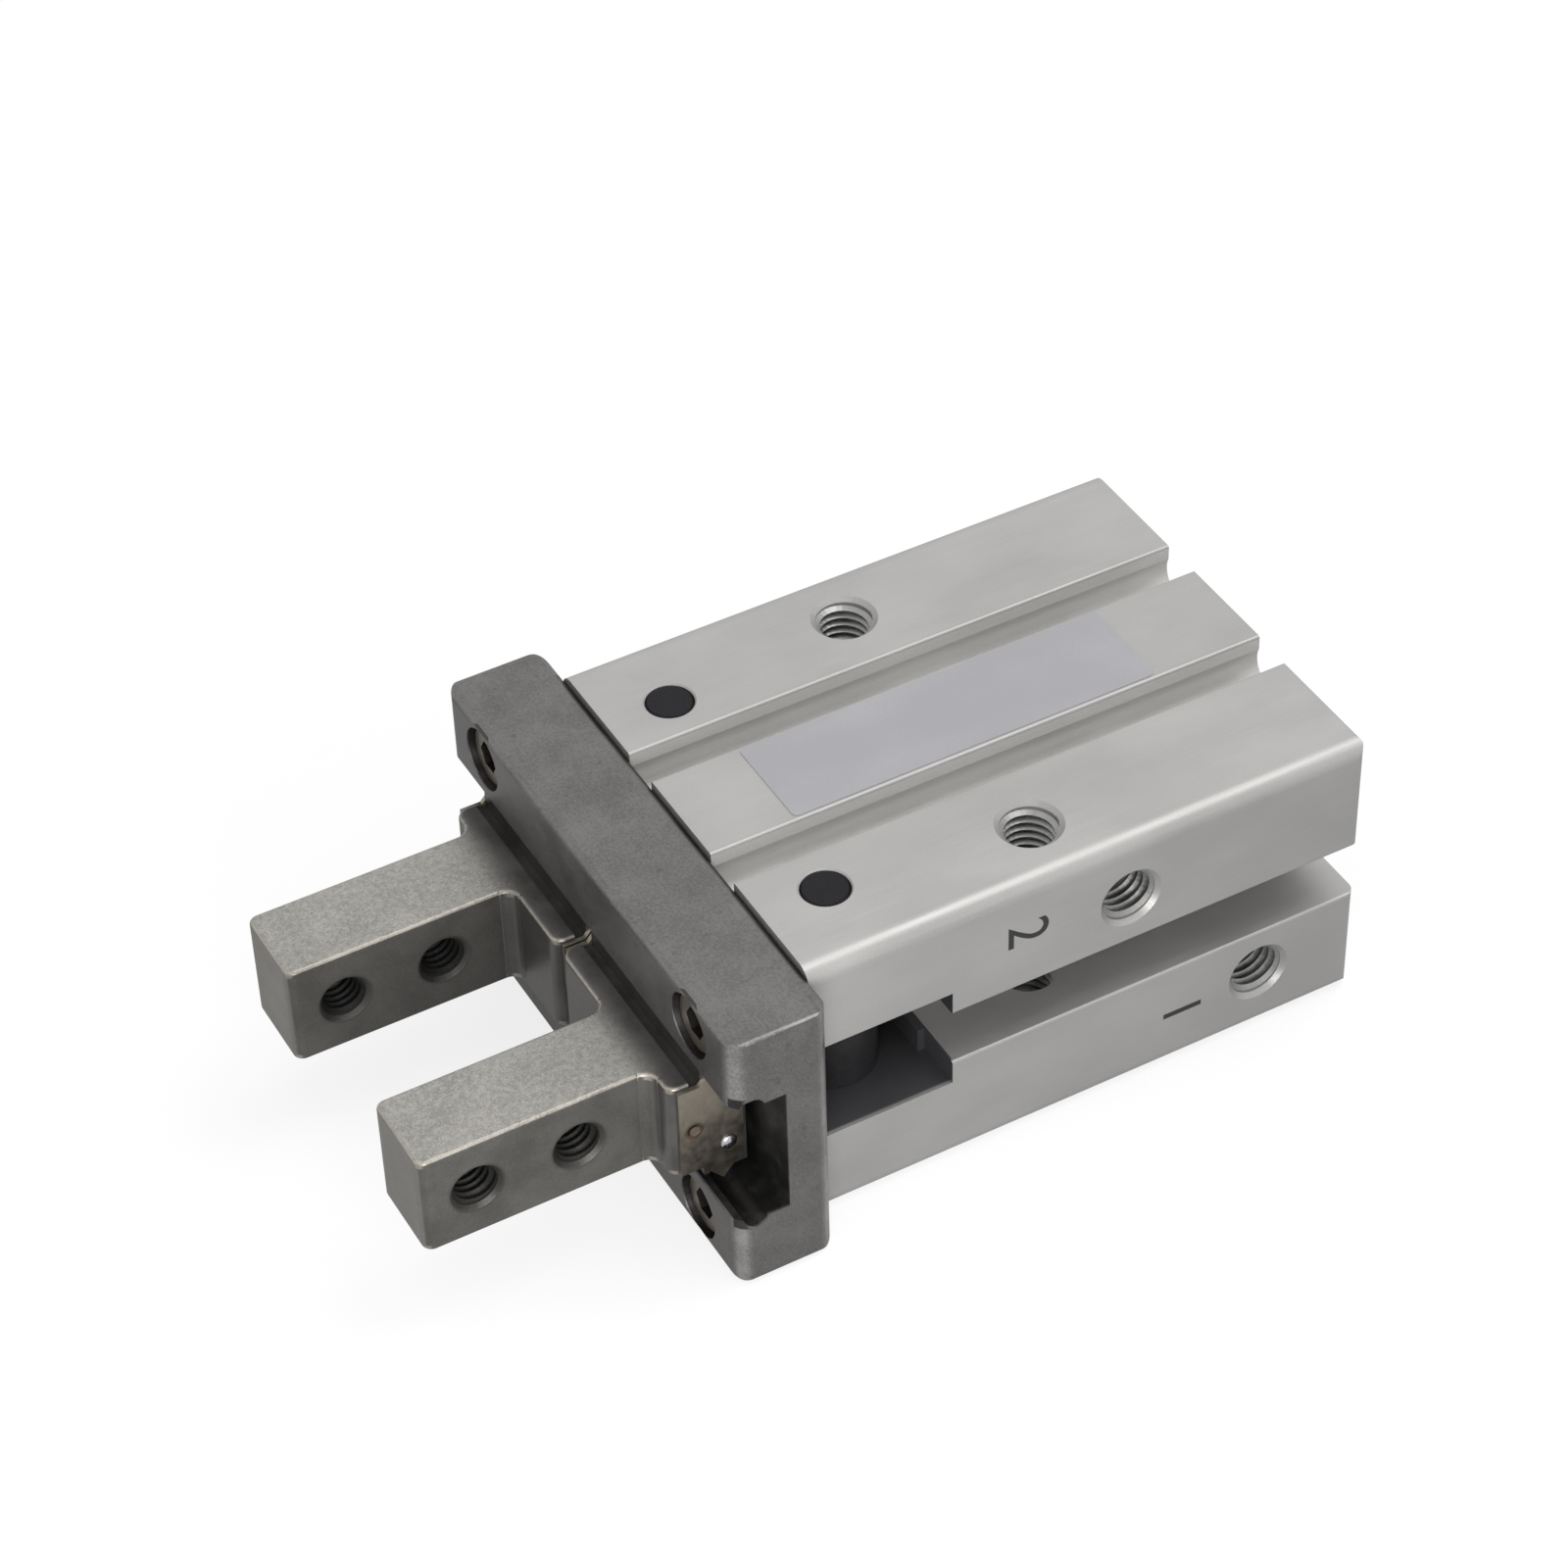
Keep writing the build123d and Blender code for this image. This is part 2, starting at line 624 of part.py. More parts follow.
def build_finger(side):
    """One finger in the shut position, on the side of the given sign."""
    slider_centre_y = side * (slider_inner_y + slider_outer_y) / 2
    with BuildPart() as finger:
        # Arm and the root that it stands on, flush above and below
        with BuildSketch(Plane.XY.offset(-arm_height / 2)) as outline:
            with Locations(((root_back_x + root_front_x) / 2, slider_centre_y)):
                Rectangle(root_front_x - root_back_x, slider_width)
            with Locations((root_back_x, side * arm_centre_y)):
                Rectangle(finger_tip_x - root_back_x, arm_width, align=(Align.MIN, Align.CENTER))
            front_corners = outline.vertices().filter_by(lambda corner: corner.X > root_back_x + press_gap)
            tip_corners = front_corners.filter_by(lambda corner: corner.X > root_front_x + press_gap)
            arm_corners = front_corners.filter_by(
                lambda corner: abs(abs(corner.Y) - arm_centre_y) < arm_width / 2 + press_gap
            )
            fillet(front_corners - arm_corners, root_corner_radius)
            fillet(arm_corners - tip_corners, root_fillet)
            fillet(outline.vertices().group_by(Axis.X)[-1], tip_corner_radius)
        extrude(amount=arm_height)
        flat_edges = finger.edges().group_by(Axis.Z)[0] + finger.edges().group_by(Axis.Z)[-1]
        fillet(flat_edges.filter_by(lambda edge: edge.center().X > root_back_x + press_gap), arm_edge)
        # Slider that fills the channel, and the relief groove between it and the root
        with BuildSketch(Plane.XY.offset(-slider_height / 2)):
            with Locations((slider_back_x, slider_centre_y)):
                Rectangle(relief_back_x - slider_back_x, slider_width, align=(Align.MIN, Align.CENTER))
        extrude(amount=slider_height)
        relief_height = arm_height - 2 * relief_depth
        with BuildSketch(Plane.XY.offset(-relief_height / 2)):
            with Locations((relief_back_x, slider_centre_y)):
                Rectangle(relief_width, slider_width, align=(Align.MIN, Align.CENTER))
        extrude(amount=relief_height)
        # Ball races above and below, and the slot that takes the lever's head
        with BuildSketch(Plane.XZ.offset(-side * slider_inner_y)):
            with Locations((race_x, -race_height / 2), (race_x, race_height / 2)):
                Circle(race_radius)
        extrude(amount=-side * slider_width, mode=Mode.SUBTRACT)
        with BuildSketch(Plane.XY.offset(-finger_slot_height / 2)):
            with Locations((slider_back_x, side * finger_slot_y)):
                slot_length = finger_slot_front_x - slider_back_x
                Rectangle(slot_length, finger_slot_width, align=(Align.MIN, Align.CENTER))
        extrude(amount=finger_slot_height, mode=Mode.SUBTRACT)
        for hole in (0, 1):
            hole_x = finger_tip_x - pad_hole_setback - hole * pad_hole_pitch
            for face, face_y in ((side, arm_inner_y + arm_width), (-side, arm_inner_y)):
                drill(hole_x, side * face_y, 0, (0, face, 0), pad_hole_diameter, pad_hole_mouth, arm_width)
        for face, face_y in ((side, slider_outer_y), (-side, slider_inner_y)):
            for level in (-1, 1):
                with Locations(outward(rivet_x, side * face_y, level * rivet_pitch / 2, (0, face, 0))):
                    Hole(rivet_diameter / 2 + press_gap, rivet_length)
    return finger


def build_stopper(side, back_y, front_y):
    """Thin end plate that closes both ball races, between the two given depths."""
    with BuildPart() as stopper:
        with BuildSketch(Plane.XZ.offset(-side * back_y)) as plate:
            with Locations((stopper_back_x, 0)):
                Rectangle(stopper_length, stopper_height, align=(Align.MIN, Align.CENTER))
            chamfer(plate.vertices().group_by(Axis.X)[0], stopper_corner)
            for level in (-1, 1):
                with BuildLine():
                    Polyline(
                        (race_x - stopper_lug_width / 2, 0),
                        (race_x - stopper_lug_width / 2, level * stopper_height / 2),
                        (race_x, level * (race_height + ball_diameter / 2) / 2),
                        (race_x + stopper_lug_width / 2, level * stopper_height / 2),
                        (race_x + stopper_lug_width / 2, 0),
                        close=True,
                    )
                make_face()
            with Locations((rivet_x, -rivet_pitch / 2), (rivet_x, rivet_pitch / 2)):
                Circle(rivet_diameter / 2 + press_gap, mode=Mode.SUBTRACT)
        extrude(amount=-side * (front_y - back_y))
    return stopper


def build_rivets(side):
    """Four ball-headed rivets that hold both end plates of one finger."""
    with BuildPart() as rivets:
        for face, face_y in ((side, slider_outer_y), (-side, slider_inner_y)):
            for level in (-1, 1):
                rivet_plane = outward(rivet_x, side * face_y, level * rivet_pitch / 2, (0, face, 0))
                with BuildSketch(rivet_plane.offset(stopper_gap_depth)):
                    Circle(rivet_diameter / 2)
                extrude(amount=stopper_thickness - stopper_gap_depth)
    return rivets


stopper_gap_depth = stopper_thickness - rivet_length
for side_name, side in (("left", 1), ("right", -1)):
    finish(build_finger(side), f"finger_{side_name}")
    finish(build_stopper(side, slider_outer_y, slider_outer_y + stopper_thickness), f"outer_stopper_{side_name}")
    finish(build_stopper(side, slider_inner_y - stopper_thickness, slider_inner_y), f"inner_stopper_{side_name}")
    finish(build_rivets(side), f"stopper_rivets_{side_name}")

# Steel balls between the guide and each finger, one row above and one below.
# A row rolls half as far as its finger, so it starts at the outer end of the race.
ball_step = ball_diameter + ball_gap
first_ball_y = slider_outer_y - ball_diameter / 2 - 4 * ball_gap
for side_name, side in (("left", 1), ("right", -1)):
    for level_name, level in (("upper", 1), ("lower", -1)):
        with BuildPart() as ball_row:
            for index in range(balls_in_row):
                with Locations((race_x, side * (first_ball_y - index * ball_step), level * race_height / 2)):
                    Sphere(ball_diameter / 2)
        finish(ball_row, f"{level_name}_balls_{side_name}")

# Bare sticker between the sensor grooves
with BuildPart() as name_sticker:
    with BuildSketch(Plane.XY.offset(body_top)) as outline:
        with Locations((sticker_x, 0)):
            RectangleRounded(sticker_length, sticker_width, body_edge_radius / 3)
    extrude(amount=sticker_thickness)
finish(name_sticker, "name_sticker")

print("half swing of the levers, degrees", round(half_swing, 4))
print("piston stroke", round(2 * half_stroke, 4))
print("lever pivot x", round(pivot_x, 3), "rod pin x", round(pin_x, 3))
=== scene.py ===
"""Looks of a pneumatic parallel gripper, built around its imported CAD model."""

import json
import math

import bmesh
import bpy
from mathutils import Euler, Matrix, Vector


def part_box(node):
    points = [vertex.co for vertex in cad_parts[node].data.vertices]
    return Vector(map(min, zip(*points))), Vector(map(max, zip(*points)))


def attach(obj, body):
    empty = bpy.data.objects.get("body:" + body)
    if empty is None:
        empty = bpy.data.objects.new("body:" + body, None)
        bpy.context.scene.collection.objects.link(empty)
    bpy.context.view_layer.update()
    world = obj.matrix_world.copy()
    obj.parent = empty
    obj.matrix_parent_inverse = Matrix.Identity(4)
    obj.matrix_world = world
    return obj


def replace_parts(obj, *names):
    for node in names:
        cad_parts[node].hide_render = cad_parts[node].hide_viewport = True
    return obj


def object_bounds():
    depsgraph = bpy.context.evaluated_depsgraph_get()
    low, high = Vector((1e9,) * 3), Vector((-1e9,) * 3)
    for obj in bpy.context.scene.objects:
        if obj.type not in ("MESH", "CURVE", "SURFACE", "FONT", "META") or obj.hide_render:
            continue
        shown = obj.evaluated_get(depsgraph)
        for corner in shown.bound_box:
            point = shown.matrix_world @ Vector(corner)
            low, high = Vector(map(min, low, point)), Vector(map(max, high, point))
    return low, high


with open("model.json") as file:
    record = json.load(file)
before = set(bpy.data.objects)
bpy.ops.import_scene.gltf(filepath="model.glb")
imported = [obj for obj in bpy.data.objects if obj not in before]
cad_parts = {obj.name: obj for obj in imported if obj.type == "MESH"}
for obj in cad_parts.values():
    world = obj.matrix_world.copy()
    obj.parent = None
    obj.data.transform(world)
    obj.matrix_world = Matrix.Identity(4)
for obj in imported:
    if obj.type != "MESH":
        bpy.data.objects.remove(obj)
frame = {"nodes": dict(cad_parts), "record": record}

bl_info = {
    "name": "Parallel Gripper",
    "version": (1, 0, 0),
    "blender": (4, 5, 0),
    "location": "View3D > Sidebar > Gripper",
    "description": "Finishes, threads and marks of a pneumatic parallel gripper",
    "category": "Object",
}

MM = 0.001
CAD_LOW, CAD_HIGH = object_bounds()
NODES = frame["nodes"]
SIDES = (("left", 1), ("right", -1))
MOUNTS = {mount["name"]: mount for mount in frame["record"]["mounts"]}

# Corners and features of the CAD pieces, in millimetres
BODY_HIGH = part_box("body")[1] / MM
GUIDE_LOW, GUIDE_HIGH = (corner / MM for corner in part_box("guide"))
PLATE_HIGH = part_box("outer_stopper_left")[1] / MM
SHAFT_LOW, SHAFT_HIGH = (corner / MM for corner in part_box("lever_shaft_left"))
RIVET_LOW, RIVET_HIGH = (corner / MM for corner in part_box("stopper_rivets_left"))
SHAFT_CENTRE = (SHAFT_LOW + SHAFT_HIGH) / 2
SCREW = [v.co / MM for v in NODES["guide_screws"].data.vertices if v.co.y > 0 and v.co.z > 0]
SCREW_Y, SCREW_Z = ((min(co[i] for co in SCREW) + max(co[i] for co in SCREW)) / 2 for i in (1, 2))
SCREW_RADIUS = max(co.z for co in SCREW) - SCREW_Z
FINGER = [v.co / MM for v in NODES["finger_left"].data.vertices]
ROOT_END = GUIDE_HIGH.x + 5.0
ARM_TOP = max(co.z for co in FINGER if co.x > ROOT_END)
ARM_INNER, ARM_OUTER = (
    abs(MOUNTS[name]["pos_m"][1]) / MM for name in ("left_finger_pad", "left_finger_back")
)
BESIDE_ARM = ARM_OUTER + 0.5
ROOT_FRONT = max(co.x for co in FINGER if co.y > BESIDE_ARM)
GROOVE_Y = MOUNTS["top_sensor_groove_left"]["pos_m"][1] / MM

# Where the body is painted differently: painted shade in the lever room, from deep to its windows,
# and painted light in the grooves
ROOM_BACK = SHAFT_LOW.x - 5.1
ROOM_HALF_HEIGHT = 6.6
ROOM_MIDDLE, ROOM_EDGE = BODY_HIGH.y - 11.0, BODY_HIGH.y - 1.0
WINDOW_INSIDE, WINDOW_MOUTH = BODY_HIGH.y - 0.5, BODY_HIGH.y - 0.2
GROOVE_HALF_WIDTH = 2.6
GROOVE_FLOOR, GROOVE_MOUTH = BODY_HIGH.z - 5.5, BODY_HIGH.z - 0.25

# Where the guide has painted shade: in the channel, the counterbores of the screws and the seam on
# the body
CHANNEL_BACK, CHANNEL_FRONT = GUIDE_LOW.x + 4.2, GUIDE_HIGH.x - 0.2
CHANNEL_HALF_HEIGHT = 7.4
CHANNEL_INSIDE, CHANNEL_MOUTH = GUIDE_HIGH.y - 0.3, GUIDE_HIGH.y - 0.05
BORE_RADIUS = SCREW_RADIUS + 0.45
BORE_FRONT, BORE_TOP = GUIDE_HIGH.x - 0.12, GUIDE_HIGH.z - 0.1
SEAM_DARK, SEAM_CLEAR = GUIDE_LOW.x + 0.3, GUIDE_LOW.x + 0.75
SEAM_HALF_WIDTH = BODY_HIGH.y + 0.3
SCREW_FACE = GUIDE_HIGH.x - 1.6

# Where the fingers and their end plates look different: painted shade in the relief groove and hole
# mouths, painted highlights on the rims, and the weld
BLOCK_END, ARM_START = GUIDE_HIGH.x + 1.2, GUIDE_HIGH.x + 4.6
RELIEF_BACK, RELIEF_FRONT = GUIDE_HIGH.x - 0.4, GUIDE_HIGH.x + 0.72
HOLE_RADIUS, HOLE_SHADE_RADIUS = 2.1, 2.7
RIM_DEPTH = 0.6
WELD_X = PLATE_HIGH.x - 1.3

# Turned metal: radians of the ring pattern in a millimetre
RING_PHASE = 42.0

# Threads: heights that a ridge gains in one turn, and its least foot as a share of the full one
RIDGE_GROWTH, RIDGE_LEAST = 1.6, 0.25
# Half the width of a ridge's foot and crest in pitches, and how far the foot is in the wall
RIDGE_HALF_FOOT, RIDGE_HALF_CREST = 0.44, 0.10
RIDGE_BITE = 0.02 * MM

# Rivets: height of a dome over its radius
RIVET_BULGE = 0.45

# Numbers: size of the type over the height of a figure, and its turn on the near side
TYPE_PER_HEIGHT = 1.4
TYPE_TURN = Euler((math.pi / 2, math.pi / 2, math.pi))

# The stage, in metres; a lamp is a name, a place from the middle, a size and a power in watts
FLOOR_REACH = 3.0
FLOOR_DROP = 0.02 * MM
FLOOR_SEEN = (0.95, 0.95, 0.95)
WHITE = (1.0, 1.0, 1.0)
SKY_TOWARDS = (-0.45, -0.04, 0.62)
SKY_DARKEST, SKY_BRIGHTEST = -0.42, 0.62
LAMPS = (
    ("softbox_over", (-0.25, 0.05, 0.6), 0.4, 1.4),
    ("softbox_front", (0.05, 0.10, 0.03), 0.06, 0.068),
)
PHOTO_PIXELS = 1600.0
SENSOR_WIDTH_MM = 36.0


def colour_property(name, description, default):
    """A colour that the sidebar shows with a swatch."""
    return bpy.props.FloatVectorProperty(
        name=name,
        description=description,
        subtype="COLOR",
        size=3,
        min=0.0,
        max=1.0,
        default=default,
    )


def length_property(name, description, default):
    """A length in metres."""
    return bpy.props.FloatProperty(
        name=name,
        description=description,
        unit="LENGTH",
        subtype="DISTANCE",
        default=default,
        precision=5,
    )


def number_property(name, description, default, **limits):
    """A plain number."""
    return bpy.props.FloatProperty(name=name, description=description, default=default, **limits)


def steps_property(description, lowest, highest, default):
    """How finely a curve is divided."""
    return bpy.props.IntProperty(
        name="Steps", description=description, min=lowest, max=highest, default=default
    )


class GripperMetalSettings(bpy.types.PropertyGroup):
    """Colours of the metal pieces."""

    housing: colour_property(
        "Housing", "Clear anodised aluminium of the body", (0.40, 0.395, 0.385)
    )
    guide: colour_property(
        "Guide", "Hardened steel of the guide across the front", (0.152, 0.146, 0.143)
    )
    finger: colour_property("Fingers", "Blasted steel of the finger arms", (0.32, 0.31, 0.285))
    # Darker than the arms: ground steel, with painted shade and reflection of the guide.
    slider: colour_property(
        "Sliders", "Ground steel of the blocks that run in the guide", (0.105, 0.10, 0.098)
    )
    lever: colour_property("Levers", "Black sintered steel of the levers", (0.026, 0.026, 0.028))
    shaft: colour_property("Shafts", "Hardened pins through the body", (0.026, 0.025, 0.028))
    screw: colour_property("Screws", "Socket head screws of the guide", (0.24, 0.21, 0.18))
    stopper: colour_property("Stoppers", "Sheet steel of the end plates", (0.24, 0.215, 0.175))
    heat_tint: colour_property("Heat tint", "Brown around the spot weld", (0.13, 0.07, 0.035))
    turned: colour_property("Turned alloy", "Piston, end cap and seal washer", (0.50, 0.50, 0.49))
    chrome: colour_property("Chrome", "Piston rod, balls and rivets", (0.62, 0.62, 0.63))
    spring: colour_property("Spring steel", "Retaining ring", (0.12, 0.125, 0.14))
    cut_alloy: colour_property("Cut alloy", "Fresh threads in the body", (0.33, 0.33, 0.32))
    # Near black: oily steel with painted shade inside the finger holes.
    shaded_cut_steel: colour_property("Cut steel", "Oily threads in the fingers", (0.022, 0.021, 0.02))
    magnet: colour_property("Magnet", "Magnet ring on the piston", (0.05, 0.05, 0.053))


class GripperSoftSettings(bpy.types.PropertyGroup):
    """Colours of the rubber pieces, the sticker and the ink."""

    seal: colour_property("Seals", "Black rubber of the seals", (0.012, 0.012, 0.013))
    bumper: colour_property("Bumpers", "Amber rubber of the bumpers", (0.09, 0.045, 0.012))
    sticker: colour_property("Sticker", "Bare silver film on the top face", (0.375, 0.37, 0.39))
    ink: colour_property("Ink", "Printed numbers beside the ports", (0.012, 0.012, 0.013))


class GripperFingerSettings(bpy.types.PropertyGroup):
    """Rounds between the arms and their roots."""

    root_radius: length_property(
        "Root", "Radius of the hollow round between an arm and its root", 1.2 * MM
    )
    edge_radius: length_property("Edge", "Radius of the arms' long edges", 0.35 * MM)
    steps: steps_property("Corners in each round", 4, 48, 14)


class GripperGuideSettings(bpy.types.PropertyGroup):
    """Rounds of the guide."""

    corner_radius: length_property(
        "Corner", "Radius of the guide's upright front corners", 2.0 * MM
    )
    slack: length_property(
        "Slack", "How far the cutting outline stays outside the guide's flats", 0.01 * MM
    )
    steps: steps_property("Corners in each round", 4, 48, 16)


class GripperThreadSettings(bpy.types.PropertyGroup):
    """Sizes of the tapped threads."""

    coarse_major: length_property(
        "Port thread", "Outer diameter of the port and body threads", 5.0 * MM
    )
    coarse_minor: length_property(
        "Port thread crest", "Crest diameter of the port and body threads", 4.2 * MM
    )
    coarse_pitch: length_property(
        "Port thread pitch", "Rise of the port and body threads in one turn", 0.8 * MM
    )
    fine_major: length_property(
        "Finger thread", "Outer diameter of the finger and rear threads", 4.0 * MM
    )
    fine_minor: length_property(
        "Finger thread crest", "Crest diameter of the finger and rear threads", 3.3 * MM
    )
    fine_pitch: length_property(
        "Finger thread pitch", "Rise of the finger and rear threads in one turn", 0.7 * MM
    )
    run_out: length_property(
        "Countersink", "Depth of the mouth before a thread starts", 0.42 * MM
    )
    port_depth: length_property("Port depth", "Length of the port threads", 3.7 * MM)
    mounting_depth: length_property(
        "Mounting depth", "Length of the threads on top and below", 10.4 * MM
    )
    rear_depth: length_property("Rear depth", "Length of the rear threads", 6.0 * MM)
    finger_depth: length_property(
        "Finger depth", "Length of the threads through the fingers", 7.1 * MM
    )
    steps: steps_property("Corners in one turn of a thread", 12, 64, 28)


class GripperMarkSettings(bpy.types.PropertyGroup):
    """The plain numbers beside the air ports."""

    height: length_property("Height", "Height of a number", 3.9 * MM)
    ink_depth: length_property("Ink", "Thickness of the print", 0.012 * MM)
    shut_ahead: length_property(
        "Front number", "How far the front number stands ahead of its port", 10.0 * MM
    )
    shut_above: length_property(
        "Front number height", "How far the front number stands over its port", 1.0 * MM
    )
    open_ahead: length_property(
        "Rear number", "How far the rear number stands ahead of its port", 7.8 * MM
    )
    open_above: length_property(
        "Rear number height", "How far the rear number stands over its port", -0.6 * MM
    )


class GripperStudioSettings(bpy.types.PropertyGroup):
    """Floor, light and camera."""

    floor: colour_property("Floor", "Pale floor", (0.36, 0.36, 0.36))
    floor_white: number_property(
        "White", "Share of the floor's look that is plain white", 0.8, min=0.0, max=1.0
    )
    floor_mirrored: number_property(
        "Mirrored white", "The same share where metal mirrors the floor", 0.34, min=0.0, max=1.0
    )
    sky_low: number_property("Low light", "Strength of the sky at its darkest", 0.06, min=0.0)
    sky_high: number_property("High light", "Strength of the sky at its brightest", 1.0, min=0.0)
    focal_pixels: number_property(
        "Focal length", "Focal length in pixels of a frame 1600 pixels wide", 4511.6
    )
    azimuth: number_property("Azimuth", "Camera's bearing in degrees", 152.023)
    elevation: number_property("Elevation", "Camera's height in degrees", 42.137)
    roll: number_property("Roll", "Camera's roll in degrees", -1.866)
    offset: bpy.props.FloatVectorProperty(
        name="Offset",
        description="The frame's origin as the camera sees it: right, up and away",
        size=3,
        unit="LENGTH",
        default=(0.037874, 0.005138, 0.384562),
    )


class Wire:
    """A value on its way through a material, which Python's own signs can work on."""

    def __init__(self, tree, socket):
        self.tree = tree
        self.socket = socket

    @classmethod
    def node(cls, tree, kind, settings=None, inputs=None, output=0):
        """Add a node, set it up, then fill its sockets with values or wires."""
        made = tree.nodes.new(kind)
        for name, value in (settings or {}).items():
            setattr(made, name, value)
        for name, value in (inputs or {}).items():
            socket = made.inputs[name]
            if isinstance(value, Wire):
                tree.links.new(value.socket, socket)
            else:
                socket.default_value = (*value, 1.0) if socket.type == "RGBA" else value
        return cls(tree, made.outputs[output])

    def calculate(self, operation, *values):
        """The result of a Math node, in the tree that this value is in."""
        return Wire.node(
            self.tree, "ShaderNodeMath", {"operation": operation}, dict(enumerate(values))
        )

    def most(self, *others):
        """The largest of this value and the others."""
        largest = self
        for other in others:
            largest = self.calculate("MAXIMUM", largest, other)
        return largest

    def __add__(self, other):
        return self.calculate("ADD", self, other)

    def __radd__(self, other):
        return self.calculate("ADD", other, self)

    def __sub__(self, other):
        return self.calculate("SUBTRACT", self, other)

    def __rsub__(self, other):
        return self.calculate("SUBTRACT", other, self)

    def __mul__(self, other):
        return self.calculate("MULTIPLY", self, other)

    def __lt__(self, other):
        return self.calculate("LESS_THAN", self, other)

    def __gt__(self, other):
        return self.calculate("GREATER_THAN", self, other)

    def __abs__(self):
        return self.calculate("ABSOLUTE", self)

    def spread(self, low, high, to_low=0.0, to_high=1.0):
        """The value with one range turned into another, held at both ends."""
        return Wire.node(
            self.tree,
            "ShaderNodeMapRange",
            {"interpolation_type": "SMOOTHSTEP"},
            {
                "Value": self,
                "From Min": low,
                "From Max": high,
                "To Min": to_low,
                "To Max": to_high,
            },
        )

    def around(self, half, to_low=0.0, to_high=1.0):
        """Noise spread out around its middle: 0.5 - half to 0.5 + half fill the range."""
        return self.spread(0.5 - half, 0.5 + half, to_low, to_high)

    def below(self, low, high):
        """1 where the value is under low, 0 where it is over high, and smooth between."""
        return self.spread(low, high, 1.0, 0.0)


class Finish:
    """One material under construction, in millimetres of the row frame."""

    def __init__(self, name, metallic, roughness):
        self.material = bpy.data.materials.new(name)
        self.material.use_nodes = True
        self.tree = self.material.node_tree
        self.shader = self.tree.nodes["Principled BSDF"]
        self.shader.inputs["Metallic"].default_value = metallic
        self.shader.inputs["Roughness"].default_value = roughness
        place = self.node("ShaderNodeTexCoord", output="Object")
        self.place = self.node(
            "ShaderNodeVectorMath", {"operation": "SCALE"}, {0: place, "Scale": 1.0 / MM}
        )
        self.x, self.y, self.z = self.parts(self.place)
        normal = self.node("ShaderNodeTexCoord", output="Normal")
        self.facing_x, self.facing_y, self.facing_z = self.parts(normal)

    def node(self, kind, settings=None, inputs=None, output=0):
        """A node of this material."""
        return Wire.node(self.tree, kind, settings, inputs, output)

    def parts(self, vector):
        """The three parts of a vector."""
        split = self.node("ShaderNodeSeparateXYZ", inputs={0: vector}).socket.node
        return (Wire(self.tree, socket) for socket in split.outputs)

    def grain(self, size, stretch=(1.0, 1.0, 1.0), detail=3.0, harshness=0.55):
        """Cloudy noise in lumps of so many millimetres, drawn out along an axis by stretch."""
        place = self.node(
            "ShaderNodeVectorMath",
            {"operation": "MULTIPLY"},
            {0: self.place, 1: tuple(1.0 / (size * s) for s in stretch)},
        )
        return self.node(
            "ShaderNodeTexNoise",
            inputs={"Vector": place, "Scale": 1.0, "Detail": detail, "Roughness": harshness},
            output="Fac",
        )

    def edges(self):
        """1 along rounded edges, where a face looks along no axis, and 0 on the flats."""
        straight = abs(self.facing_x).most(abs(self.facing_y), abs(self.facing_z))
        return straight.below(0.80, 0.97)

    def tint(self, mask, first, second):
        """A colour between two others, by a mask."""
        return self.node(
            "ShaderNodeMix", {"data_type": "RGBA"}, {0: mask, 6: first, 7: second}, output=2
        )

    def shade(self, colour, mask, dark, light):
        """A colour times one share where the mask is 0, and times another where it is 1."""
        low, high = (tuple(min(1.0, c * share) for c in colour) for share in (dark, light))
        return self.tint(mask, low, high)

    def paint(self, colour, roughness=None, coat=0.0, bumps=()):
        """Connect what varies over the surface; a bump is a height and its millimetres."""
        self.tree.links.new(colour.socket, self.shader.inputs["Base Color"])
        if roughness is not None:
            self.tree.links.new(roughness.socket, self.shader.inputs["Roughness"])
        self.shader.inputs["Coat Weight"].default_value = coat
        normal = None
        for height, depth in bumps:
            inputs = {"Strength": 1.0, "Distance": depth * MM, "Height": height}
            if normal is not None:
                inputs["Normal"] = normal
            normal = self.node("ShaderNodeBump", inputs=inputs)
        if normal is not None:
            self.tree.links.new(normal.socket, self.shader.inputs["Normal"])
        return self.material


def anodised_alloy(name, colour):
    """Satin anodised extrusion, with painted light in the sensor grooves and painted shade in the
    lever room.
    """
    metal = Finish(name, metallic=0.5, roughness=0.42)
    lines = metal.grain(0.16, stretch=(60.0, 1.0, 1.0), detail=2.0)
    clouds = metal.grain(8.0, stretch=(1.8, 1.0, 1.0))
    pores = metal.grain(0.12, harshness=0.75)
    lengthwise = abs(metal.facing_x) < 0.5
    mask = (lines * 0.16 * lengthwise + clouds * 0.42 + pores * 0.42).around(0.16)
    clean = metal.shade(colour, mask, 0.90, 1.08)

    # Painted shade in the lever room: near black deep inside, lighter and a little blue towards its
    # windows.
    deep = abs(metal.y).below(WINDOW_INSIDE, WINDOW_MOUTH)
    room = (ROOM_BACK < metal.x) * (abs(metal.z) < ROOM_HALF_HEIGHT)
    room = room * deep.most(metal.facing_x > 0.5)
    outwards = abs(metal.y).spread(ROOM_MIDDLE, ROOM_EDGE)
    bluish_room_shade = (colour[0], colour[1] * 1.01, colour[2] * 1.12)
    room_shade = metal.shade(bluish_room_shade, outwards * (clouds + 0.5), 0.06, 0.24)

    # Painted light: the walls of the sensor grooves are lighter than the flats, as if lit inside.
    groove = abs(abs(metal.y) - GROOVE_Y) < GROOVE_HALF_WIDTH
    groove = groove * (abs(metal.z) < GROOVE_MOUTH) * (GROOVE_FLOOR < abs(metal.z)) * lengthwise
    groove_lit = metal.tint(groove, clean, metal.shade(colour, mask, 1.35, 1.6))
    return metal.paint(
        colour=metal.tint(room, groove_lit, room_shade),
        roughness=(clouds * 0.5 + lines * 0.5).around(0.2, 0.36, 0.50),
        bumps=((lines * lengthwise, 0.002), (pores, 0.005)),
    )


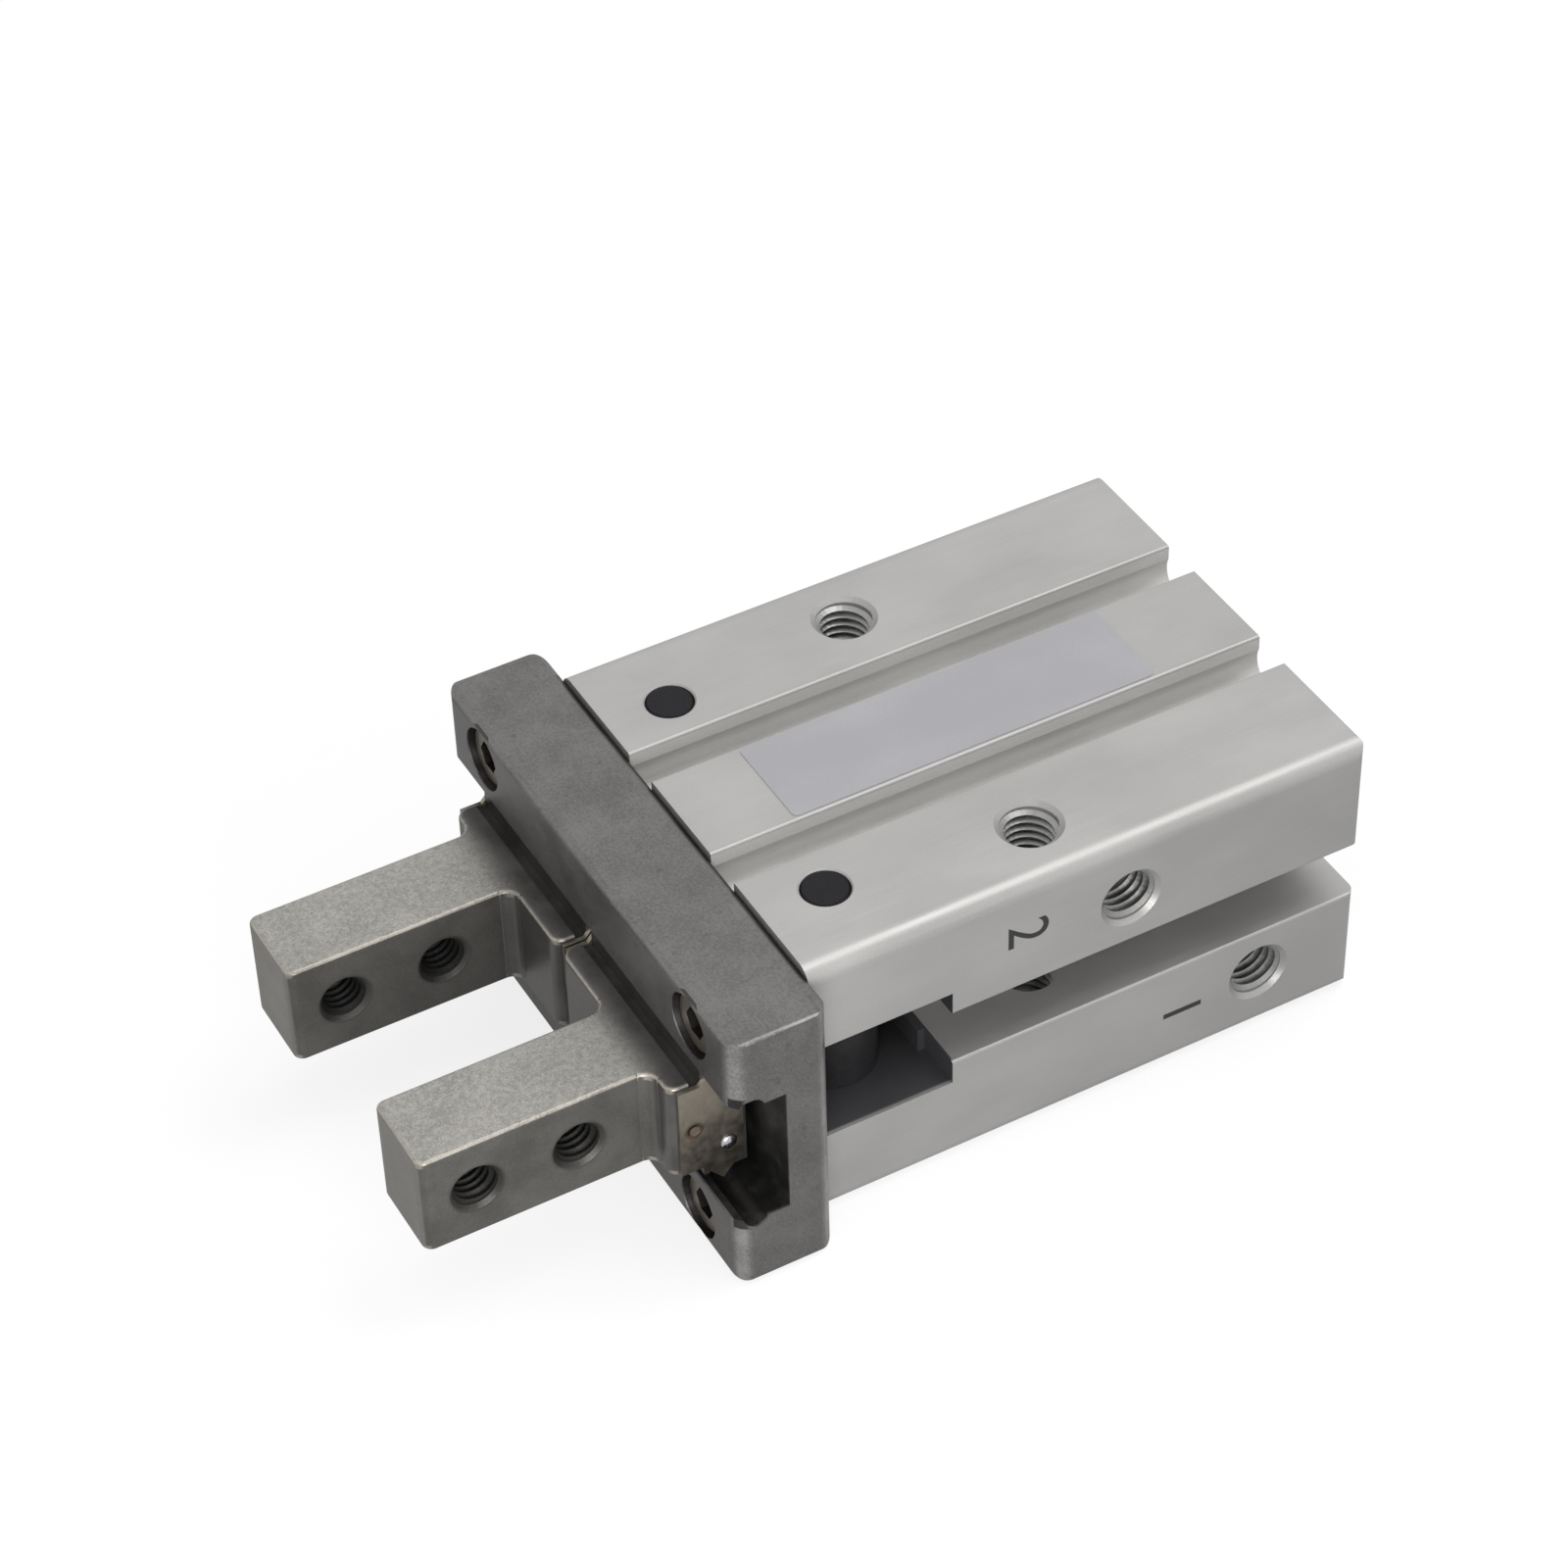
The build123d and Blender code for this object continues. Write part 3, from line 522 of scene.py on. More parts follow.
def ground_steel(name, colour, speck=0.24, highlight_gain=2.6):
    """Hardened steel: lines along y, a few stains, painted highlights on worn end edges, and painted
    shade in the channel, the counterbores and the seam on the body.
    """
    metal = Finish(name, metallic=0.7, roughness=0.42)
    lines = metal.grain(0.14, stretch=(1.0, 30.0, 1.0), detail=2.0)
    clouds = metal.grain(4.5, detail=4.0, harshness=0.6)
    specks = metal.grain(speck, detail=4.0, harshness=0.8)
    stains = metal.grain(1.3, detail=2.0).spread(0.66, 0.74)
    mask = (lines * 0.08 + clouds * 0.32 + specks * 0.6).around(0.14)
    skin = metal.shade(colour, mask - stains * 0.45, 0.74, 1.24)

    # Painted highlight along the rounded edges, strongest on the end edges, over a little real wear.
    edge_wear_and_highlight = metal.edges() * (clouds * 0.6 + specks * 0.4).spread(0.36, 0.62, 0.2, 1.0)
    edge_wear_and_highlight = edge_wear_and_highlight * abs(metal.facing_y).spread(0.15, 0.4, 0.15, 1.0)
    edge_highlight_colour = tuple(c * highlight_gain for c in colour)

    # Painted shade in the channel, in the screws' counterbores and in the seam against the body.
    channel = (CHANNEL_BACK < metal.x) * (metal.x < CHANNEL_FRONT)
    channel = channel * (abs(metal.z) < CHANNEL_HALF_HEIGHT)
    channel_shade = channel * abs(metal.y).below(CHANNEL_INSIDE, CHANNEL_MOUTH)
    beside, over = abs(metal.y) - SCREW_Y, abs(metal.z) - SCREW_Z
    bored = beside * beside + over * over < BORE_RADIUS**2
    bored = bored * (metal.x < BORE_FRONT) * (abs(metal.z) < BORE_TOP)
    seam = metal.x.below(SEAM_DARK, SEAM_CLEAR) * (abs(metal.y) < SEAM_HALF_WIDTH)
    painted_shade = metal.shade(colour, clouds.around(0.1), 0.16, 0.42)
    return metal.paint(
        colour=metal.tint(channel_shade.most(bored, seam), metal.tint(edge_wear_and_highlight * 0.8, skin, edge_highlight_colour), painted_shade),
        roughness=(clouds * 0.4 + specks * 0.6).around(0.15, 0.36, 0.50) - edge_wear_and_highlight * 0.08,
        bumps=((lines, 0.002), (specks, 0.010)),
    )


def socket_screw(name, colour):
    """Steel screw head: painted shade in the socket and on the sunk sides of the head, with a
    painted highlight on the rim of its chamfer.
    """
    metal = Finish(name, metallic=0.85, roughness=0.36)
    specks = metal.grain(0.12, detail=4.0, harshness=0.8)
    front = abs(metal.facing_x)
    # Painted highlight on the chamfer's rim; painted shade on all but the head's front face.
    rim_highlight = front.spread(0.55, 0.65) * front.below(0.80, 0.92)
    shown = (front > 0.9) * (SCREW_FACE < metal.x)
    socket_shade = metal.shade(colour, specks, 0.18, 0.3)
    face = metal.shade(colour, specks.around(0.14), 0.7, 1.0)
    return metal.paint(
        colour=metal.tint(rim_highlight, metal.tint(shown, socket_shade, face), tuple(c * 2.1 for c in colour)),
        roughness=specks.around(0.2, 0.28, 0.44),
        bumps=((specks, 0.006),),
    )


def blasted_finger(name, arm, slider):
    """Blasted arm with painted shade on its ground sides and tip, on a slider block ground after
    hardening; painted shade on the block, hole mouths and relief groove, painted highlights on the
    rims.
    """
    metal = Finish(name, metallic=0.65, roughness=0.42)
    specks = metal.grain(0.2, detail=4.0, harshness=0.85)
    pits = metal.grain(0.55, harshness=0.7)
    clouds = metal.grain(4.5, detail=4.0)
    scratches = metal.grain(0.12, stretch=(1.0, 40.0, 1.0), detail=2.0)
    block = metal.x.below(BLOCK_END, ARM_START)
    # Darker sides: ground steel, with painted shade and reflection of the dark surroundings; the tip
    # gets painted shade.
    beside = abs(metal.facing_y).spread(0.45, 0.75)
    tip_shade = metal.facing_x.spread(0.45, 0.75)
    even = specks * 0.5 + clouds * 0.5
    top_mask = (specks * 0.55 + pits * 0.3 + clouds * 0.15).around(0.10)
    top_colour = metal.shade(arm, top_mask - tip_shade * 0.7, 0.72, 1.24)
    ground_and_shaded_side = metal.shade(arm, even.around(0.14), 0.30, 0.47)
    # The block: ground steel, darkened further by painted shade and a painted reflection of the
    # guide's dark front.
    ground = (scratches * 0.15 + clouds * 0.85).around(0.12)
    block_ground_and_shaded = metal.shade(slider, ground, 0.75, 1.15)
    skin = metal.tint(block, metal.tint(beside, top_colour, ground_and_shaded_side), block_ground_and_shaded)

    holes = [centre.x / MM for centre in hole_centres(MOUNTS["left_finger_threads"])]
    middle, half_spacing = (min(holes) + max(holes)) / 2, (max(holes) - min(holes)) / 2
    # Painted shade in the mouths of the threaded holes and in the relief groove by the guide.
    away = abs(metal.x - middle) - half_spacing
    reach = away * away + metal.z * metal.z
    mouth = reach.below(HOLE_RADIUS**2, HOLE_SHADE_RADIUS**2)
    relief = (metal.x < RELIEF_FRONT) * (RELIEF_BACK < metal.x)
    recess_shade = metal.shade(arm, clouds.around(0.15), 0.10, 0.18)
    skin = metal.tint((mouth * 0.8).most(relief * 0.6), skin, recess_shade)

    # Painted highlight along the arms' top and bottom edges, over a little real wear.
    rims = abs(metal.z) > ARM_TOP - RIM_DEPTH
    edge_wear_and_highlight = metal.edges() * rims * even.spread(0.36, 0.6, 0.3, 1.0)
    edge_highlight_colour = (arm[0] * 1.5, arm[1] * 1.4, arm[2] * 1.3)
    return metal.paint(
        colour=metal.tint(edge_wear_and_highlight * 0.8, skin, edge_highlight_colour),
        roughness=even.around(0.15, 0.36, 0.52) - block * 0.10,
        bumps=((specks, 0.014), (pits, 0.010)),
    )


def turned_metal(name, colour, roughness, centre_y=0.0, spin="x"):
    """Lathe work: fine rings around an axis, with a little grain."""
    metal = Finish(name, metallic=1.0, roughness=roughness)
    across = metal.z if spin == "x" else metal.x - SHAFT_CENTRE.x
    offset = abs(metal.y) - centre_y
    squares = across * across + offset * offset
    distance = squares.calculate("POWER", squares, 0.5)
    waves = distance.calculate("SINE", distance * RING_PHASE)
    specks = metal.grain(0.2, harshness=0.7)
    mask = waves * 0.18 + specks
    return metal.paint(
        colour=metal.shade(colour, mask.around(0.2), 0.84, 1.16),
        roughness=mask.around(0.2, roughness - 0.06, roughness + 0.08),
        bumps=((waves, 0.002), (specks, 0.003)),
    )


def sintered_steel(name, colour):
    """Pressed and sintered steel, dark pores in a matt skin."""
    metal = Finish(name, metallic=0.4, roughness=0.55)
    metal.shader.inputs["Specular IOR Level"].default_value = 0.25
    pores = metal.grain(0.14, harshness=0.8)
    clouds = metal.grain(2.2, detail=4.0)
    return metal.paint(
        colour=metal.shade(colour, (pores * 0.6 + clouds * 0.4).around(0.14), 0.66, 1.2),
        roughness=pores.around(0.2, 0.40, 0.60),
        bumps=((pores, 0.012),),
    )


def stopper_sheet(name, colour, heat_tint):
    """Rolled sheet, darker towards the bottom, with a straw-brown ring around its spot weld."""
    metal = Finish(name, metallic=0.9, roughness=0.34)
    lines = metal.grain(0.12, stretch=(1.0, 1.0, 30.0), detail=2.0)
    smudge = metal.grain(1.1, detail=4.0, harshness=0.6)
    away = metal.x - WELD_X
    reach = away * away + metal.z * metal.z
    weld = reach.spread(0.10, 0.28) * reach.below(0.38, 0.95)
    dimple = reach.spread(0.12, 0.42)
    # Darker towards the bottom.
    towards_top = (metal.z + smudge * 3.0).spread(-2.0, 5.0)
    mask = towards_top * 0.75 + (lines * 0.3 + smudge * 0.7).around(0.15) * 0.25
    sheet = metal.shade(colour, mask, 0.55, 1.35)
    burnt = metal.shade(heat_tint, smudge.around(0.15), 0.6, 1.2)
    return metal.paint(
        colour=metal.tint(weld * 0.8, sheet, burnt),
        roughness=smudge.around(0.2, 0.28, 0.46),
        bumps=((dimple, 0.08), (lines, 0.003)),
    )


def polished_steel(name, colour, roughness):
    """Ground and polished steel with faint handling haze."""
    metal = Finish(name, metallic=1.0, roughness=roughness)
    haze = metal.grain(1.6, detail=4.0)
    return metal.paint(
        colour=metal.shade(colour, haze.around(0.15), 0.9, 1.05),
        roughness=haze.around(0.15, roughness, roughness + 0.1),
        bumps=((haze, 0.002),),
    )


def moulded_rubber(name, colour):
    """Matt rubber with a fine mould skin."""
    skin = Finish(name, metallic=0.0, roughness=0.7)
    dust = skin.grain(1.4, detail=4.0, harshness=0.65)
    grain = skin.grain(0.12, detail=2.0, harshness=0.7)
    return skin.paint(
        colour=skin.shade(colour, dust.spread(0.35, 0.7), 0.8, 1.7),
        roughness=dust.around(0.2, 0.55, 0.8),
        bumps=((grain, 0.008),),
    )


def silver_film(name, colour):
    """Bare sticker: silver film under a thin clear layer, with a soft wave and fine grain."""
    film = Finish(name, metallic=0.55, roughness=0.42)
    film.shader.inputs["Coat Roughness"].default_value = 0.25
    wave = film.grain(9.0, stretch=(2.0, 1.0, 1.0), detail=2.0)
    grain = film.grain(0.1, detail=2.0, harshness=0.6)
    return film.paint(
        colour=film.shade(colour, (wave * 0.6 + grain * 0.4).around(0.12), 0.95, 1.06),
        roughness=wave.around(0.2, 0.36, 0.48),
        coat=0.2,
        bumps=((wave, 0.02), (grain, 0.003)),
    )


def printed_ink(name, colour):
    """Thin black print, a little broken at the grain of the metal below."""
    ink = Finish(name, metallic=0.0, roughness=0.5)
    grain = ink.grain(0.12, harshness=0.8)
    return ink.paint(
        colour=ink.shade(colour, grain.spread(0.4, 0.75), 0.8, 3.0),
        roughness=grain.around(0.2, 0.42, 0.62),
        bumps=((grain, 0.003),),
    )


def backdrop_rays(tree):
    """1 for the rays that show the backdrop itself, 0 for those that carry its light.

    It is seen straight, mirrored or through glass. The first wire is for all three, the
    second for the straight ones.
    """
    straight = Wire.node(tree, "ShaderNodeLightPath", output="Is Camera Ray")
    mirrored, through = (
        Wire(tree, straight.socket.node.outputs[name])
        for name in ("Is Glossy Ray", "Is Transmission Ray")
    )
    return straight.most(mirrored, through), straight


def dress(material, *nodes):
    """Give CAD nodes a material in place of the one they came with."""
    for name in nodes:
        slots = NODES[name].data.materials
        slots.clear()
        slots.append(material)


def add_object(name, data):
    """A new object in the scene's own collection."""
    made = bpy.data.objects.new(name, data)
    bpy.context.scene.collection.objects.link(made)
    return made


def place_mesh(name, mesh, body, slot, material):
    """Put a mesh in the scene as a piece that rides on a CAD body."""
    piece = add_object(name, mesh)
    mesh.materials.append(material)
    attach(piece, body)
    return piece


def final_mesh(draft):
    """A draft's mesh with its modifiers or its text worked out; the draft goes."""
    bpy.context.view_layer.update()
    graph = bpy.context.evaluated_depsgraph_get()
    mesh = bpy.data.meshes.new_from_object(draft.evaluated_get(graph))
    mesh.transform(draft.matrix_world)
    bpy.data.objects.remove(draft)
    return mesh


def mesh_of(shape, name):
    """Turn a finished shape into a mesh."""
    mesh = bpy.data.meshes.new(name)
    shape.to_mesh(mesh)
    shape.free()
    return mesh


def join_rings(shape, rings, smooth=0):
    """Build a closed body out of rings of corners, the first few of its strips smooth."""
    faces = []
    for first, second in zip(rings, rings[1:]):
        for i in range(len(first)):
            k = (i + 1) % len(first)
            faces.append(shape.faces.new((first[i], first[k], second[k], second[i])))
            faces[-1].smooth = i < smooth
    faces += [shape.faces.new(rings[0]), shape.faces.new(rings[-1])]
    bmesh.ops.recalc_face_normals(shape, faces=faces)


def quarter_turn(steps):
    """Angles from 0 to a quarter turn."""
    return [math.pi / 2 * i / steps for i in range(steps + 1)]


def hole_centres(mount):
    """Where the holes of a mount open, worked out from the record's spacings."""
    axis = max(range(3), key=lambda i: abs(mount["axis"][i]))
    along, across = [i for i in range(3) if i != axis]
    sizes = mount["dims"]
    centres = [Vector(mount["pos_m"])]
    for i, key in ((along, "spacing_x_mm"), (across, "spacing_y_mm")):
        if sizes.get(key):
            step = Vector(tuple(sizes[key] / 2 * MM if k == i else 0.0 for k in range(3)))
            centres = [centre + step * sign for centre in centres for sign in (-1, 1)]
    return centres


def cut_thread(shape, mouth, inward, length, size):
    """Add one internal thread: a ridge that winds along the wall of a plain hole."""
    major, minor, pitch, steps = size
    turn = Vector(inward).to_track_quat("Z", "Y").to_matrix()
    count = max(2, int(length / pitch * steps))
    foot = major / 2 + RIDGE_BITE
    rings = []
    for i in range(count + 1):
        angle = 2 * math.pi * i / steps
        along = length * i / count
        run_out = min(1.0, i / steps * RIDGE_GROWTH, (count - i) / steps * RIDGE_GROWTH)
        crest = major / 2 - (major - minor) / 2 * run_out
        half_foot = RIDGE_HALF_FOOT * pitch * max(RIDGE_LEAST, run_out)
        half_crest = RIDGE_HALF_CREST * pitch
        rings.append([])
        for radius, shift in (
            (foot, -half_foot),
            (crest, -half_crest),
            (crest, half_crest),
            (foot, half_foot),
        ):
            local = Vector((radius * math.cos(angle), radius * math.sin(angle), along + shift))
            rings[-1].append(shape.verts.new(Vector(mouth) + turn @ local))
    join_rings(shape, rings)


class GRIPPER_OT_housing(bpy.types.Operator):
    """Finish the anodised body and its bare sticker"""

    bl_idname = "gripper.housing"
    bl_label = "Finish the Housing"

    def execute(self, context):
        metals, soft = context.scene.gripper_metals, context.scene.gripper_soft
        dress(anodised_alloy("housing_alloy_anodised", tuple(metals.housing)), "body")
        dress(silver_film("sticker_silver_film", tuple(soft.sticker)), "name_sticker")
        return {"FINISHED"}


class GRIPPER_OT_guide(bpy.types.Operator):
    """Finish the guide, its screws and the lever shafts"""

    bl_idname = "gripper.guide"
    bl_label = "Finish the Guide"

    def execute(self, context):
        metals = context.scene.gripper_metals
        steel = ground_steel("guide_steel_ground", tuple(metals.guide))
        dress(steel, "guide")
        rounded = self.smooth(self.cut("guide_rounded", context.scene.gripper_guide))
        rounded.name = "guide_rounded"
        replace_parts(place_mesh("guide_rounded", rounded, "housing", "guide_steel", steel), "guide")
        dress(socket_screw("screw_steel_oxide", tuple(metals.screw)), "guide_screws")
        shaft = turned_metal(
            "shaft_steel_dark", tuple(metals.shaft), 0.36, centre_y=SHAFT_CENTRE.y, spin="z"
        )
        dress(shaft, "lever_shaft_left", "lever_shaft_right")
        return {"FINISHED"}

    def stencil(self, name, sizes):
        """An upright block around the guide, with the rounder front corners."""
        low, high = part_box("guide")
        radius, slack = sizes.corner_radius, sizes.slack
        centre_x, centre_y = high.x + slack - radius, high.y + slack - radius
        arc = [(radius * math.cos(a), radius * math.sin(a)) for a in quarter_turn(sizes.steps)]
        outline = [(centre_x + x, centre_y + y) for x, y in arc]
        outline += [(low.x - MM, high.y + slack), (low.x - MM, -high.y - slack)]
        outline += [(centre_x + x, -centre_y - y) for x, y in reversed(arc)]
        shape = bmesh.new()
        levels = (low.z - MM, high.z + MM)
        join_rings(shape, [[shape.verts.new((x, y, z)) for x, y in outline] for z in levels])
        return mesh_of(shape, name)

    def cut(self, name, sizes):
        """The guide's own mesh, cut by the stencil."""
        cutter = add_object(name + "_stencil", self.stencil(name + "_stencil", sizes))
        draft = add_object(name + "_draft", NODES["guide"].data.copy())
        shape = bmesh.new()
        shape.from_mesh(draft.data)
        bmesh.ops.remove_doubles(shape, verts=shape.verts, dist=0.0001 * MM)
        shape.to_mesh(draft.data)
        shape.free()
        corners = draft.modifiers.new("corners", "BOOLEAN")
        corners.operation, corners.object, corners.solver = "INTERSECT", cutter, "EXACT"
        mesh = final_mesh(draft)
        bpy.data.objects.remove(cutter)
        return mesh

    def smooth(self, mesh):
        """The cut mesh with one material, smooth rounds and sharp edges."""
        if "custom_normal" in mesh.attributes:
            mesh.attributes.remove(mesh.attributes["custom_normal"])
        mesh.materials.clear()
        for face in mesh.polygons:
            face.material_index = 0
        mesh.shade_smooth()
        mesh.set_sharp_from_angle(angle=math.radians(30.0))
        draft = add_object("guide_smooth_draft", mesh)
        draft.modifiers.new("normals", "WEIGHTED_NORMAL").keep_sharp = True
        return final_mesh(draft)


class GRIPPER_OT_fingers(bpy.types.Operator):
    """Finish both fingers, their end plates, rivets and balls"""

    bl_idname = "gripper.fingers"
    bl_label = "Finish the Fingers"

    def execute(self, context):
        metals, sizes = context.scene.gripper_metals, context.scene.gripper_fingers
        steel = blasted_finger("finger_steel_blasted", tuple(metals.finger), tuple(metals.slider))
        sheet = stopper_sheet(
            "stopper_steel_sheet", tuple(metals.stopper), tuple(metals.heat_tint)
        )
        polished = polished_steel("ball_steel_polished", tuple(metals.chrome), 0.12)
        for side, sign in SIDES:
            dress(steel, f"finger_{side}")
            dress(sheet, f"outer_stopper_{side}", f"inner_stopper_{side}")
            dress(polished, f"stopper_rivets_{side}", f"upper_balls_{side}", f"lower_balls_{side}")
            body = f"{side}_finger"
            heads = self.rivet_heads(f"rivet_heads_{side}", sign)
            place_mesh(f"rivet_heads_{side}", heads, body, "ball_steel", polished)
            rounds = self.root_rounds(f"root_rounds_{side}", sign, sizes)
            place_mesh(f"root_rounds_{side}", rounds, body, "finger_steel", steel)
        return {"FINISHED"}

    def root_rounds(self, name, sign, sizes):
        """Hollow rounds between one finger's arm and its root, flush with both."""
        radius, edge = sizes.root_radius / MM, sizes.edge_radius / MM
        rounds = quarter_turn(sizes.steps)
        upper = [
            (ARM_TOP - edge + edge * math.sin(a), edge - edge * math.cos(a)) for a in rounds
        ]
        levels = [(-level, inset) for level, inset in reversed(upper)] + upper
        shape = bmesh.new()
        for face_y, outward in ((ARM_INNER, -1), (ARM_OUTER, 1)):
            rings = []
            for level, inset in levels:
                reach = radius + inset
                arc = [(radius - reach * math.cos(a), radius - reach * math.sin(a)) for a in rounds]
                outline = [(ROOT_FRONT + x, face_y + outward * y) for x, y in arc]
                outline.append((ROOT_FRONT - edge, face_y - outward * edge))
                corners = [Vector((x, sign * y, level)) * MM for x, y in outline]
                rings.append([shape.verts.new(corner) for corner in corners])
            join_rings(shape, rings, smooth=sizes.steps)
        return mesh_of(shape, name)

    def rivet_heads(self, name, sign):
        """Low domes on the outer ends of one finger's rivets."""
        radius = (RIVET_HIGH.x - RIVET_LOW.x) / 2
        centre_x = (RIVET_LOW.x + RIVET_HIGH.x) / 2
        flatten = Matrix.Diagonal((1.0, RIVET_BULGE, 1.0, 1.0))
        shape = bmesh.new()
        for z in (RIVET_LOW.z + radius, RIVET_HIGH.z - radius):
            place = Matrix.Translation(Vector((centre_x, sign * RIVET_HIGH.y, z)) * MM)
            bmesh.ops.create_uvsphere(
                shape, u_segments=32, v_segments=16, radius=radius * MM, matrix=place @ flatten
            )
        for face in shape.faces:
            face.smooth = True
        return mesh_of(shape, name)


class GRIPPER_OT_drive(bpy.types.Operator):
    """Finish the levers, the piston and everything in the cylinder"""

    bl_idname = "gripper.drive"
    bl_label = "Finish the Drive"

    def execute(self, context):
        metals, soft = context.scene.gripper_metals, context.scene.gripper_soft
        lever = sintered_steel("lever_steel_sintered", tuple(metals.lever))
        dress(lever, "lever_left", "lever_right")
        turned = turned_metal("alloy_turned", tuple(metals.turned), 0.34)
        dress(turned, "piston", "end_cap", "seal_retainer")
        chromed = polished_steel("rod_steel_chromed", tuple(metals.chrome), 0.16)
        dress(chromed, "piston_rod", "rod_pin")
        spring = ground_steel("spring_steel_phosphated", tuple(metals.spring), speck=0.1)
        dress(spring, "retaining_ring")
        dress(sintered_steel("magnet_sintered", tuple(metals.magnet)), "magnet_ring")
        seal = moulded_rubber("seal_rubber_black", tuple(soft.seal))
        dress(seal, "rod_seal", "piston_seal", "cap_gasket")
        bumper = moulded_rubber("bumper_rubber_amber", tuple(soft.bumper))
        dress(bumper, "front_bumper", "rear_bumper")
        return {"FINISHED"}


class GRIPPER_OT_threads(bpy.types.Operator):
    """Cut the threads of the ports, the mounting holes and the fingers"""

    bl_idname = "gripper.threads"
    bl_label = "Cut the Threads"

    def execute(self, context):
        sizes, metals = context.scene.gripper_threads, context.scene.gripper_metals
        coarse = (sizes.coarse_major, sizes.coarse_minor, sizes.coarse_pitch, sizes.steps)
        fine = (sizes.fine_major, sizes.fine_minor, sizes.fine_pitch, sizes.steps)
        alloy = polished_steel("alloy_fresh_cut", tuple(metals.cut_alloy), 0.34)
        # Finger threads: oily steel, near black as painted shade inside the holes.
        steel = sintered_steel("finger_thread_steel_shaded", tuple(metals.shaded_cut_steel))
        ports, faces = ("open_port", "shut_port"), ("top_threads", "bottom_threads")
        owner = ("housing", "housing_alloy", alloy)
        sink = sizes.run_out
        rows = [
            ("port_threads", ports, coarse, sizes.port_depth, 0.0, owner),
            ("mounting_threads", faces, coarse, sizes.mounting_depth, sink, owner),
            ("rear_threads", ("rear_threads",), fine, sizes.rear_depth, sink, owner),
        ]
        for side, _ in SIDES:
            owner, mounts = (f"{side}_finger", "finger_steel", steel), (f"{side}_finger_threads",)
            rows.append((f"finger_threads_{side}", mounts, fine, sizes.finger_depth, sink, owner))
        for piece, mounts, size, depth, start, owner in rows:
            shape = bmesh.new()
            for mount in mounts:
                inward = -Vector(MOUNTS[mount]["axis"])
                for centre in hole_centres(MOUNTS[mount]):
                    cut_thread(shape, centre + inward * start, inward, depth, size)
            place_mesh(piece, mesh_of(shape, piece), *owner)
        return {"FINISHED"}


class GRIPPER_OT_marks(bpy.types.Operator):
    """Print a plain number beside each air port"""

    bl_idname = "gripper.marks"
    bl_label = "Print the Port Numbers"

    def execute(self, context):
        marks = context.scene.gripper_marks
        ink = printed_ink("port_number_ink", tuple(context.scene.gripper_soft.ink))
        for name, text, port, ahead, above in (
            ("shut_port_number", "2", "shut_port", marks.shut_ahead, marks.shut_above),
            ("open_port_number", "1", "open_port", marks.open_ahead, marks.open_above),
        ):
            line = bpy.data.curves.new(name + "_outline", "FONT")
            line.body, line.align_x, line.align_y = text, "CENTER", "CENTER"
            line.size, line.extrude = marks.height * TYPE_PER_HEIGHT, marks.ink_depth / 2
            draft = add_object(name + "_draft", line)
            x, _, z = MOUNTS[port]["pos_m"]
            place = Matrix.Translation((x + ahead, BODY_HIGH.y * MM, z + above))
            draft.matrix_world = place @ TYPE_TURN.to_matrix().to_4x4()
            mesh = final_mesh(draft)
            mesh.materials.clear()
            place_mesh(name, mesh, "housing", "seal_rubber", ink)
        return {"FINISHED"}


